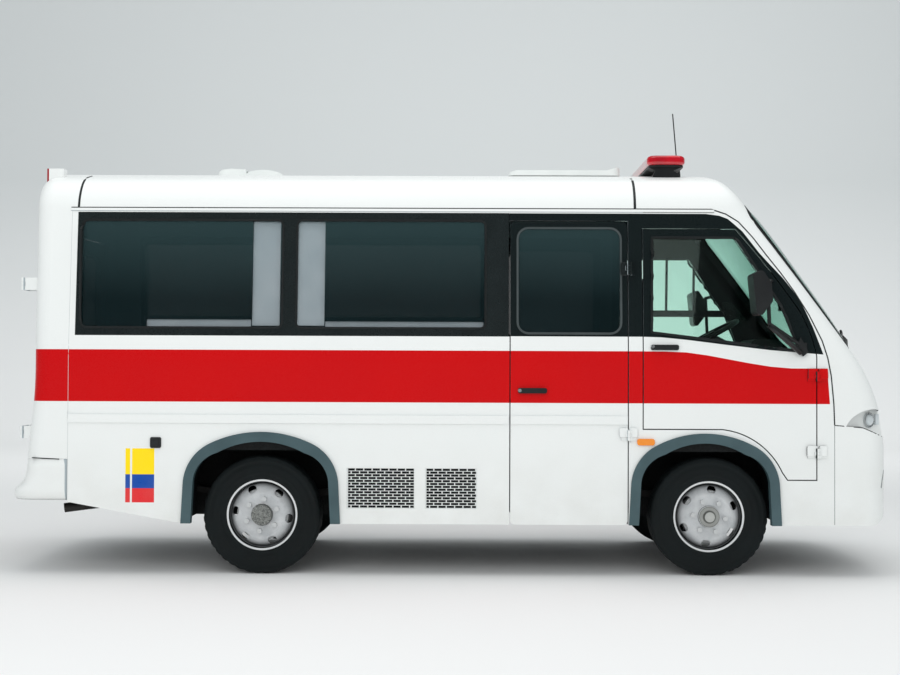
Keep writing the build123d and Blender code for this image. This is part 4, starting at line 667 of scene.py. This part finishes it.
def slab(name, layers, shader, body, behind=None):
    """Side-view outlines in millimetres, each drawn out between two values of Y, as one mesh.

    With behind, the two values are depths below the skin on that side.
    """

    def spot(x, y, z):
        if behind is None:
            return at(x, y, z)
        return on_side(x, z, behind)[0] - Vector((0, behind * y / 1000, 0))

    verts = []
    faces = []
    for outline, first, last in layers:
        start, n = len(verts), len(outline)
        verts += [spot(x, y, z) for y in (first, last) for x, z in outline]
        faces.append(tuple(range(start, start + n)))
        faces.append(tuple(reversed(range(start + n, start + 2 * n))))
        for k in range(n):
            a, b = start + k, start + (k + 1) % n
            faces.append((a, b, b + n, a + n))
    return piece(name, flat_mesh(name, verts, faces), shader, body)


# Seams, gutters and roof joints: side-view line, width, height and finish
PILLAR_LINE = [
    (1440, 2336), (1530, 2306), (1609, 2257), (1700, 2157), (1784, 2045), (1875, 1929),
    (1958, 1812), (2048, 1663), (2128, 1497), (2162, 1389), (2184, 1275), (2200, 1100), (2205, 963),
]
ROOF_REAR_LINE = [(-2610, 2338), (-2608, 2420), (-2606, 2500), (-2604, 2575)]
SEAMS = {
    "gutter": ([(-2658, 2324), (1455, 2324)], 19, 7, cap_paint),
    "gutter_shadow": ([(-2658, 2337), (1440, 2337)], 7, 2, line_dark),
    "pillar_line": (PILLAR_LINE, 8, 2, line_dark),
    "bumper_line": ([(2205, 963), (2385, 948), (2545, 880)], 6, 1.2, line_dark),
    "fog_slit": ([(2536, 676), (2520, 622), (2510, 566)], 12, 2, line_grey),
    "bumper_edge": ([(2205, 960), (2205, 335)], 4, 1.0, line_grey),
    "rear_seam": ([(-2650, 2310), (-2650, 480)], 3, 0.6, line_pale),
    "roof_seam_front": ([(950, 2338), (950, 2560)], 16, 3, line_dark),
    "roof_seam_rear": (ROOF_REAR_LINE, 14, 3, line_dark),
}
for label, side in SIDES:
    for name, (line, width, height, shade) in SEAMS.items():
        side_bead(f"{name}_{label}", line, width, height, shade, "body", side)

# The fuel flap's latch
for label, side in SIDES:
    raised(f"flap_latch_{label}", (-2126, -2056), (803, 872), 12, 14, black_plastic, "body", side)
    raised(f"flap_button_{label}", (-2112, -2070), (818, 857), 8, 18, line_dark, "body", side)

# Window seals
REAR_PANE, FRONT_PANE, DOOR_PANE = (-2577, -1297), (-1207, -4), (200, 858)
PANE_Z, DOOR_PANE_Z = (1568, 2257), (1538, 2212)
for label, side, x, z, radius, body, tone in (
    ("rear_right", RIGHT, REAR_PANE, PANE_Z, 35, "body", rubber),
    ("front_right", RIGHT, FRONT_PANE, PANE_Z, 35, "body", rubber),
    ("door", RIGHT, DOOR_PANE, DOOR_PANE_Z, 70, "side_door", seal),
    ("rear_left", LEFT, REAR_PANE, PANE_Z, 35, "body", rubber),
    ("front_left", LEFT, FRONT_PANE, PANE_Z, 35, "body", rubber),
    ("blind_left", LEFT, DOOR_PANE, DOOR_PANE_Z, 70, "body", seal),
):
    side_bead(
        f"seal_{label}", rounded_loop(x, z, radius), 14, 5, tone, body, side, True
    )
CAB_GLASS_LINE = [(1051, 1547), (1057, 2153), (1580, 2153), (1880, 1700), (1985, 1432)]
for name, side, body in (("front_door", RIGHT, "front_door"), ("driver", LEFT, "body")):
    side_bead(f"seal_{name}", CAB_GLASS_LINE, 16, 5, rubber, body, side, True)

# Tyres with a treaded crown and ringed side walls

# Outer half of the tyre's section: radius and distance from its middle, in millimetres
TYRE_SIDE = [
    (212, 84), (225.5, 90), (226.5, 98), (236, 99.5), (243, 101), (250, 100), (262, 104),
    (266, 106.5), (272, 107), (276, 106), (296, 107.5), (318, 107), (321, 105.5), (340, 104),
    (344, 105.5), (348, 105), (356, 101), (364, 99), (371, 93), (374.5, 86),
]
TYRE_CROWN = [
    (375, 74), (366, 72), (366, 64), (375, 62), (375, 30), (366, 28), (366, 20), (375, 18),
]
TYRE_STEPS = 120
# Every third step is cut down by the lug's depth, on the shoulders alone
LUG_EVERY, LUG_DEPTH, LUG_RADIUS, LUG_SHOULDER = 3, 5, 370, 70
WHEEL_MIDDLE = 850


def tyre_rubber():
    s = Shader("tyre_rubber")
    grit = s.noise(300.0, 4.0)
    wide = s.noise(11.0, 4.0)
    s.set("Base Color", s.mix(s.spread(wide, 0.0, 1.0), linear("0d1314"), linear("151b1c")))
    s.set("Roughness", s.spread(wide, 0.66, 0.86))
    s.set("Specular IOR Level", 0.3)
    s.bump(grit, 0.0006, 0.7)
    return s


def tyre_mesh(name, place):
    half = TYRE_SIDE + TYRE_CROWN
    profile = [(r, -y) for r, y in half] + half[::-1]
    verts = []
    for i in range(TYRE_STEPS):
        angle = 2 * math.pi * i / TYRE_STEPS
        for r, y in profile:
            cut = r > LUG_RADIUS and abs(y) > LUG_SHOULDER and i % LUG_EVERY == 0
            rim = (r - (LUG_DEPTH if cut else 0)) / 1000
            verts.append(place + Vector((rim * math.cos(angle), y / 1000, rim * math.sin(angle))))
    return mesh_of(name, verts, tube_faces(TYRE_STEPS, len(profile), closed=True))


tyre_black = tyre_rubber()
for end, x in (("front", HALF_WHEELBASE), ("rear", -HALF_WHEELBASE)):
    for label, side in (("left", LEFT), ("right", RIGHT)):
        data = tyre_mesh(f"tyre_tread_{end}_{label}", at(x, side * WHEEL_MIDDLE, HUB_HEIGHT))
        obj = piece(data.name, data, tyre_black, f"wheel_{end}_{label}")
        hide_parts(f"tyre_{end}_{label}")

# Cushions: crowned forms whose sides pull in, with sewn channels
CUSHION_CUTS = 13
# Shares of the half size: what is left of a corner's height, and where the rounding starts and runs
CORNER_LEFT, ROUND_FROM, ROUND_RUN = 0.35, 0.8, 0.2
PULL_IN, PULL_FROM = 0.03, 0.95
CHANNEL_DEPTH, CHANNEL_END, CHANNEL_POWER = 0.12, 0.9, 6


def cloth(name, code, other, rate):
    """Woven cloth, rate being its threads' waves in radians per metre."""
    s = Shader(name, Roughness=0.9)
    weave = s.math("MULTIPLY", s.waves(s.x, rate), s.waves(s.z, rate))
    cross = s.waves(s.y, rate)
    wide = s.noise(12.0, 4.0)
    s.set("Base Color", s.mix(s.spread(wide, 0.0, 1.0), linear(code), linear(other)))
    s.set("Sheen Weight", 0.3)
    s.bump(s.math("ADD", weave, cross), 0.0008, 0.5)
    return s


def cushion(name, x, y, z, crown, channels, shader, node):
    """A soft block with a crowned top, pulled-in sides and sewn channels across it."""
    low, high = at(x[0], y[0], z[0]), at(x[1], y[1], z[1])
    middle, half = (low + high) / 2, (high - low) / 2
    soft = bmesh.new()
    bmesh.ops.create_cube(soft, size=2.0)
    bmesh.ops.subdivide_edges(soft, edges=soft.edges[:], cuts=CUSHION_CUTS, use_grid_fill=True)
    thin = min(range(3), key=lambda k: half[k])
    wide = [k for k in range(3) if k != thin]
    for v in soft.verts:
        u = Vector(v.co)
        edge = max(abs(u[wide[0]]), abs(u[wide[1]]))
        past = max(0.0, (edge - ROUND_FROM) / ROUND_RUN)
        round_off = 1 - (1 - CORNER_LEFT) * past ** 2 * abs(u[thin]) ** 2
        swell = (1 - u[wide[0]] ** 2) * (1 - u[wide[1]] ** 2)
        pull = 1 - PULL_IN * (1 - abs(u[thin])) * (1 if edge > PULL_FROM else 0)
        place = [u[k] * half[k] * pull for k in range(3)]
        depth = half[thin] * (1 - crown) * round_off + half[thin] * crown * swell
        wave = abs(math.sin(math.pi * channels * (u[wide[0]] + 1) / 2))
        sewn = CHANNEL_DEPTH * (1 - wave) ** CHANNEL_POWER
        depth -= half[thin] * sewn * (1 if edge < CHANNEL_END else 0)
        place[thin] = u[thin] * depth
        v.co = middle + Vector(place)
    data = bpy.data.meshes.new(name)
    soft.to_mesh(data)
    soft.free()
    for polygon in data.polygons:
        polygon.use_smooth = True
    obj = piece(name, data, shader, "body")
    rounding = obj.modifiers.new("soft", "SUBSURF")
    rounding.levels = 1
    rounding.render_levels = 1
    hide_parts(node)


seat_cloth = cloth("seat_cloth", "2b3036", "363c43", 900.0)
pad_cloth = cloth("pad_cloth", "24262c", "2e3138", 400.0)
SEAT_HALF = 238
for label, front, y in (("driver", 1228, 480), ("passenger", 1040, -480)):
    across = (y - SEAT_HALF, y + SEAT_HALF)
    base, back = (front + 2, front + 458), (front - 109, front - 2)
    cushion(f"cushion_{label}", base, across, (1172, 1289), 0.35, 3, seat_cloth, "seat_pads")
    cushion(f"back_{label}", back, across, (1172, 1968), 0.4, 4, seat_cloth, "seat_pads")
along, across = (-2349, -421), (-269, 269)
cushion("stretcher_mattress", along, across, (1291, 1369), 0.3, 5, pad_cloth, "stretcher_pad")

# Vents: a lattice with rows of slots half a slot apart, over a black plate of painted shade
VENTS = {"rear": (-878, -447), "front": (-381, -53)}
VENT_Z = (427, 682)
VENT_ROWS, VENT_PITCH, VENT_BAR, VENT_WEB = 14, 53, 3.4, 7
# The plate, the bars and the webs each lie between two values of Y
PLATE_Y, BAR_Y, WEB_Y = (-1005.4, -998), (-1025, -1012), (-1024.6, -1012.4)
for label, x in VENTS.items():
    # The black plate is painted shade behind the slots
    plate = [(rounded_loop(x, VENT_Z, 4, 2), *PLATE_Y)]
    slab(f"vent_shade_plate_{label}", plate, liner_and_shade_black, "body")
    bars = []
    rise = (VENT_Z[1] - VENT_Z[0] - VENT_BAR) / VENT_ROWS
    for row in range(VENT_ROWS + 1):
        low = VENT_Z[0] + row * rise
        bars.append((rounded_loop(x, (low, low + VENT_BAR), 1, 1), *BAR_Y))
        if row == VENT_ROWS:
            break
        spot = x[0] + (0 if row % 2 else VENT_PITCH / 2)
        posts = [x[0] + VENT_WEB / 2, x[1] - VENT_WEB / 2]
        while spot < x[1] - VENT_WEB:
            if spot > x[0] + VENT_WEB * 1.5:
                posts.append(spot)
            spot += VENT_PITCH
        for post in posts:
            across = (post - VENT_WEB / 2, post + VENT_WEB / 2)
            upward = (low + VENT_BAR / 2, low + rise + VENT_BAR / 2)
            bars.append((rounded_loop(across, upward, 1, 1), *WEB_Y))
    grille = slab(f"vent_lattice_{label}", bars, grille_metal, "body")
    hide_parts("vent_grilles")

# Wheel arches: a black liner round each; its back wall and a lintel behind the crown are painted
# shade
ARCHES = {"front": (1388, 484), "rear": (-1424, 507)}
ARCH_FOOT, ARCH_BEND, ARCH_LINTEL = 330, 571, 735
LINER_OUT, LINER_DEEP, LINER_BACK, LINTEL_OUT, LINTEL_IN = 980, 462, 458, 981, 988


def arch_outline(middle, foot, grow):
    """The arch's outline from its front foot over the crown to its rear foot, grown outward."""
    half = [
        (foot, ARCH_FOOT), (foot - 15, ARCH_BEND), (foot - 30, 640), (foot - 64, 729),
        (foot - 118, 790), (foot - 188, 836), (foot - 260, 868), (foot - 350, 897), (120, 905),
    ]
    half = [(x + grow, z + (grow if z > ARCH_BEND else 0)) for x, z in half]
    return [(middle + x, z) for x, z in half] + [(middle - x, z) for x, z in reversed(half)]


for end, (middle, foot) in ARCHES.items():
    outer = arch_outline(middle, foot, 3)
    inner = arch_outline(middle, foot, 0)
    band = outer + list(reversed(inner))
    lintel = [(x, z) for x, z in inner if z > ARCH_LINTEL]
    for label, side in SIDES:
        # The liner band, then the back wall and the lintel, black sheets that stand in for the
        # shade in the arch
        walls = [
            (band, side * LINER_OUT, side * LINER_DEEP),
            (outer, side * LINER_DEEP, side * LINER_BACK),
            (lintel, side * LINTEL_OUT, side * LINTEL_IN),
        ]
        slab(f"arch_liner_and_shade_{end}_{label}", walls, liner_and_shade_black, "body")

# Rear bumper: its sides sweep up into the rear cap in one curve, then turn in under it
BUMPER_FRONT, BUMPER_TOP, BUMPER_KNEE = -2650, 732, 525
BUMPER_STEPS, BUMPER_TURN, BUMPER_WALL = 120, 179.8, 0.012
# Shares of the way down from top to knee and out from the cap to the bumper
SWEEP = [
    (0.0, 0.0), (0.3, 0.13), (0.51, 0.27), (0.75, 0.55), (0.86, 0.76), (0.945, 0.92), (1.0, 1.0),
]
# Height and distance inward of the lip under the knee
LIP = [(497, 3), (482, 9), (470, 20)]
rear_tree = surface_of("rear_frame")
bumper_tree = surface_of("rear_bumper")


def rear_hit(tree, angle, z):
    """The outermost place on a rear piece, looking in towards a middle point from an angle."""
    middle = at(BUMPER_FRONT - 1, 0, z)
    reach = Vector((-math.cos(angle), math.sin(angle), 0.0))
    return tree.ray_cast(middle + reach * 3.0, -reach)[0]


def swept_bumper():
    rows = []
    for k in range(BUMPER_STEPS + 1):
        angle = math.radians(-BUMPER_TURN / 2 + BUMPER_TURN * k / BUMPER_STEPS)
        foot = rear_hit(bumper_tree, angle, BUMPER_KNEE)
        top = rear_hit(rear_tree, angle, BUMPER_TOP) or foot
        column = []
        for share, out in SWEEP:
            place = top.lerp(foot, out)
            place.z = (BUMPER_TOP + (BUMPER_KNEE - BUMPER_TOP) * share) / 1000
            column.append(place)
        inward = Vector((x_in(BUMPER_FRONT) - foot.x, -foot.y, 0.0)).normalized()
        for z, back in LIP:
            place = foot + inward * (back / 1000)
            place.z = z / 1000
            column.append(place)
        rows.append(column)
    verts = [place for column in rows for place in column]
    data = mesh_of("swept_bumper", verts, sheet_faces(len(rows), len(rows[0])))
    obj = piece("swept_bumper", data, cap_paint, "body")
    add_wall(obj, BUMPER_WALL)
    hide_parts("rear_bumper")


swept_bumper()
SLIT = [(-2876, 741), (-2702, 733), (-2702, 727), (-2876, 735)]
slab("bumper_slit", [(SLIT, -1031.5, -1020)], line_dark, "body")

# Hinges: a leaf on the door and a plate on the body, either side of the door's seam
FRONT_SEAM, SIDE_SEAM, SEAM_CLEAR = 2099, 904, 4
for name, seam, x, z, shade, door in (
    ("front_low", FRONT_SEAM, (2027, 2155), (766, 833), side_paint, "front_door"),
    ("front_high", FRONT_SEAM, (2036, 2162), (1256, 1322), side_paint, "front_door"),
    ("side_low", SIDE_SEAM, (845, 959), (882, 941), side_paint, "side_door"),
    ("side_high", SIDE_SEAM, (853, 923), (1910, 1992), band_black, "side_door"),
):
    raised(f"hinge_leaf_{name}", (x[0], seam - SEAM_CLEAR), z, 10, 7, shade, door, crown=0.2)
    raised(f"hinge_plate_{name}", (seam + SEAM_CLEAR, x[1]), z, 10, 7, shade, "body", crown=0.2)

# Round locks beside the handles
raised("front_lock", (1042, 1066), (1444, 1468), 12, 26, tube_metal, "front_door")
raised("side_lock", (202, 226), (1164, 1188), 12, 26, tube_metal, "side_door")

# Small plates in the front corner of the cab glass
CAB_SIDES = (("right", RIGHT, "front_door"), ("left", LEFT, "body"))
QUARTER = [(1800, 1986), (1864, 1713), (1864, 1687), (2035, 1681), (2003, 1719), (1806, 1961)]
for label, side, body in CAB_SIDES:
    plate = [(QUARTER, side * 958, side * 952)]
    slab(f"glass_quarter_{label}", plate, band_black, body)

# Pale lining and ledges right behind the glass, at depths below its face
LINING_DEPTHS = (24, 34)
for name, (x, z) in LININGS.items():
    deep = [(rounded_loop(x, z, 6, 2), *LINING_DEPTHS)]
    slab(f"window_{name}", deep, lining_pale, "body", behind=RIGHT)

# Mirrors: a broad lower bar, and the pad that carries it on the body
MIRROR_BAR = [(1764, 1172, 1590), (1800, 1168, 1560), (1984, 1062, 1420)]
MIRROR_PAD = [(1984, 1519), (2034, 1425), (2000, 1398), (1958, 1452)]
for label, side, body in CAB_SIDES:
    rod(f"mirror_bar_{label}", [at(x, side * y, z) for x, y, z in MIRROR_BAR], 0.017, body, 12)
    pad = [(MIRROR_PAD, side * 1034, side * 1064)]
    slab(f"mirror_foot_{label}", pad, black_plastic, body)

# Windscreen
SCREEN_HALF, SCREEN_FOOT, SCREEN_TOP, SCREEN_CORNER = 903, 1454, 2366, 110
SCREEN_ACROSS, SCREEN_UPWARD = 48, 32
SCREEN_BULGE, SCREEN_SINK, SCREEN_WALL = 0.046, 0.001, 0.008
# X where a look at the front starts, and the nose's X where it finds nothing
FRONT_FAR, FRONT_SKIN = 3600, 2500
front_tree = surface_of("front_panel", "windscreen", "front_bumper", "lamps")


def on_front(y, z):
    """Where a front-view point in millimetres lies on the nose or screen, and the normal there."""
    hit, normal, _, _ = front_tree.ray_cast(at(FRONT_FAR, y, z), Vector((-1, 0, 0)))
    if hit is None:
        return at(FRONT_SKIN, y, z), Vector((1, 0, 0))
    if normal.x < 0:
        normal = -normal
    return hit, normal


def front_bead(name, line, width, height, shader, closed=False):
    """A strip along a front-view line in millimetres."""
    spots = [on_front(y, z) for y, z in spaced(line, STRIP_STEP, closed)]
    return bead(name, spots, width, height, shader, "body", closed)


def curved_screen():
    """The windscreen's glass: it follows the body at its edges and bulges between them."""
    middle = (SCREEN_FOOT + SCREEN_TOP) / 2
    half = (SCREEN_TOP - SCREEN_FOOT) / 2
    verts = []
    for i in range(SCREEN_ACROSS + 1):
        for j in range(SCREEN_UPWARD + 1):
            u, v = 2 * i / SCREEN_ACROSS - 1, 2 * j / SCREEN_UPWARD - 1
            y, z = u * SCREEN_HALF, middle + v * half
            past = (abs(y) - SCREEN_HALF + SCREEN_CORNER, abs(z - middle) - half + SCREEN_CORNER)
            if min(past) > 0 and math.hypot(*past) > SCREEN_CORNER:
                pull = SCREEN_CORNER / math.hypot(*past)
                y = math.copysign(SCREEN_HALF - SCREEN_CORNER + past[0] * pull, y)
                z = middle + math.copysign(half - SCREEN_CORNER + past[1] * pull, z - middle)
            place, lean = on_front(y, z)
            swell = (1 - u ** 4) * (1 - v ** 4)
            verts.append(place + lean * (SCREEN_BULGE * swell ** 0.5 - SCREEN_SINK))
    data = mesh_of("curved_screen", verts, sheet_faces(SCREEN_ACROSS + 1, SCREEN_UPWARD + 1))
    obj = piece("curved_screen", data, screen_glass, "body")
    add_wall(obj, SCREEN_WALL)
    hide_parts("windscreen")
    return data


front_tree = surface_of("front_panel", "front_bumper", "lamps", extra=[curved_screen()])
SEAL_HALF, SEAL_Z = SCREEN_HALF + 2, (SCREEN_FOOT - 2, SCREEN_TOP + 2)
seal_loop = rounded_loop((-SEAL_HALF, SEAL_HALF), SEAL_Z, SCREEN_CORNER)
front_bead("screen_seal", seal_loop, 24, 6, rubber, True)

# Nose: the joint over the bumper, an air intake between the lamps and one in the bumper
front_bead("nose_joint", [(-780, 905), (780, 905)], 6, 1.5, line_dark)
for row in range(3):
    reach, z = 430 - 14 * row, 1010 - 34 * row
    front_bead(f"nose_slot_{row}", [(-reach, z), (reach, z)], 20, 2.5, band_black)
for row in range(2):
    z = 590 - 42 * row
    front_bead(f"bumper_slot_{row}", [(-470, z), (470, z)], 26, 2.5, band_black)

# Wipers: Y of each one's pivot and tip, heights in millimetres, and the blade's lift off the glass
WIPERS = (("right", -300, -760), ("left", 560, 80))
WIPER_FOOT, BLADE_FOOT, BLADE_RISE, BLADE_STEPS, BLADE_LIFT = 1436, 1500, 60, 8, 0.012
for label, base, tip in WIPERS:
    blade = []
    for k in range(BLADE_STEPS + 1):
        share = k / BLADE_STEPS
        point, lean = on_front(base + (tip - base) * share, BLADE_FOOT + BLADE_RISE * share)
        blade.append(point + lean * BLADE_LIFT)
    rod(f"wiper_blade_{label}", blade, 0.009, "body")
    foot, normal = on_front(base, WIPER_FOOT)
    middle = blade[BLADE_STEPS // 2]
    arm = [
        foot + normal * 0.004, foot + normal * 0.055, (foot + middle) / 2 + normal * 0.045,
        middle + normal * 0.004,
    ]
    rod(f"wiper_arm_{label}", arm, 0.011, "body")

# Headlamps: a bright ring round each lens, with its sizes in metres
RING_TURNS, RING_SIDES = 40, 10
RING_RADIUS, RING_OUT, RING_HALF_WIDTH, RING_HALF_DEPTH = 0.0435, 0.010, 0.0055, 0.007
UPWARD = Vector((0, 0, 1))
for label, side in SIDES:
    centre = at(2452, side * 892, 992)
    outward = Vector((0.594, side * 0.804, 0.0))
    level = outward.cross(UPWARD)
    verts = []
    for i in range(RING_TURNS):
        turn = 2 * math.pi * i / RING_TURNS
        reach = level * math.cos(turn) + UPWARD * math.sin(turn)
        for k in range(RING_SIDES):
            angle = 2 * math.pi * k / RING_SIDES
            run = RING_RADIUS + RING_HALF_WIDTH * math.cos(angle)
            proud = RING_OUT + RING_HALF_DEPTH * math.sin(angle)
            verts.append(centre + reach * run + outward * proud)
    faces = tube_faces(RING_TURNS, RING_SIDES, closed=True)
    data = mesh_of(f"lamp_ring_{label}", verts, faces)
    piece(data.name, data, tube_metal, "body")

# Studio: a pale floor that curves up into the backdrop, and soft lights, in metres
STAGE_HALF, STAGE_FRONT, STAGE_BACK, STAGE_TOP = 34.0, -26.0, 14.0, 16.0
STAGE_RADIUS, STAGE_STEPS = 5.0, 12
# Share of the room's light that polished surfaces mirror
MIRRORED_ROOM = 0.16


def backdrop():
    profile = [(STAGE_FRONT, 0.0), (STAGE_BACK, 0.0)]
    for k in range(1, STAGE_STEPS + 1):
        angle = math.pi / 2 * k / STAGE_STEPS
        rise = STAGE_RADIUS - STAGE_RADIUS * math.cos(angle)
        profile.append((STAGE_BACK + STAGE_RADIUS * math.sin(angle), rise))
    profile.append((STAGE_BACK + STAGE_RADIUS, STAGE_TOP))
    verts = [(x, y, z) for y, z in profile for x in (-STAGE_HALF, STAGE_HALF)]
    faces = [(2 * i, 2 * i + 1, 2 * i + 3, 2 * i + 2) for i in range(len(profile) - 1)]
    data = mesh_of("studio_floor", verts, faces)
    s = Shader("studio_grey", Roughness=0.9)
    # Painted shade: the backdrop turns darker as it rises off the floor
    rise = s.map(s.z, 0.0, STAGE_RADIUS, 0.0, 1.0)
    s.set("Base Color", s.mix(rise, linear("ebebea"), linear("cdd0d0")))
    data.materials.append(s.material)
    obj = bpy.data.objects.new("studio_floor", data)
    bpy.context.scene.collection.objects.link(obj)


def area_light(name, place, aim, size, power):
    light = bpy.data.lights.new(name, "AREA")
    light.shape = "RECTANGLE"
    light.size, light.size_y = size
    light.energy = power
    obj = bpy.data.objects.new(name, light)
    bpy.context.scene.collection.objects.link(obj)
    obj.location = place
    obj.rotation_euler = (Vector(aim) - Vector(place)).to_track_quat("-Z", "Y").to_euler()
    obj.visible_camera = False
    return obj


backdrop()
area_light("overhead", (0.3, -1.0, 7.5), (0.0, 0.0, 0.0), (9.0, 6.0), 190)
side_fill = area_light("side_fill", (-1.5, -11.5, 5.2), (0.0, 0.0, 1.0), (10.0, 4.5), 350)
side_fill.visible_glossy = False
area_light("back_fill", (1.0, 9.0, 8.0), (0.0, 17.0, 3.0), (16.0, 4.0), 420)
world = bpy.data.worlds.new("studio_air")
bpy.context.scene.world = world
world.use_nodes = True
sky = world.node_tree.nodes["Background"]
sky.inputs[0].default_value = linear("e4e8ea")
path = world.node_tree.nodes.new("ShaderNodeLightPath")
dim = world.node_tree.nodes.new("ShaderNodeMath")
dim.operation = "MULTIPLY_ADD"
dim.inputs[1].default_value = MIRRORED_ROOM - 1.0
dim.inputs[2].default_value = 1.0
world.node_tree.links.new(path.outputs["Is Glossy Ray"], dim.inputs[0])
world.node_tree.links.new(dim.outputs[0], sky.inputs[1])

# Camera: fitted to the wheels and the upright lines of the photograph, in metres and degrees
CAMERA_PLACE = (0.044, -10.522, 1.330)
CAMERA_YAW, CAMERA_PITCH, CAMERA_ROLL = 0.333, 1.085, 0.219
CAMERA_LENS, CAMERA_SENSOR = 59.92, 36.0
yaw, pitch, roll = (math.radians(a) for a in (CAMERA_YAW, CAMERA_PITCH, CAMERA_ROLL))
look = Vector((-math.sin(yaw) * math.cos(pitch), math.cos(yaw) * math.cos(pitch), math.sin(pitch)))
right = Vector((math.cos(yaw), math.sin(yaw), 0.0))
up = right.cross(look)
turned_right = right * math.cos(roll) + up * math.sin(roll)
turned_up = up * math.cos(roll) - right * math.sin(roll)
lens = bpy.data.cameras.new("photo_camera")
lens.sensor_width = CAMERA_SENSOR
lens.lens = CAMERA_LENS
camera = bpy.data.objects.new("photo_camera", lens)
bpy.context.scene.collection.objects.link(camera)
turn = Matrix((turned_right, turned_up, -look)).transposed().to_4x4()
camera.matrix_world = Matrix.Translation(CAMERA_PLACE) @ turn
bpy.context.scene.camera = camera
bpy.context.scene.view_settings.view_transform = "Standard"
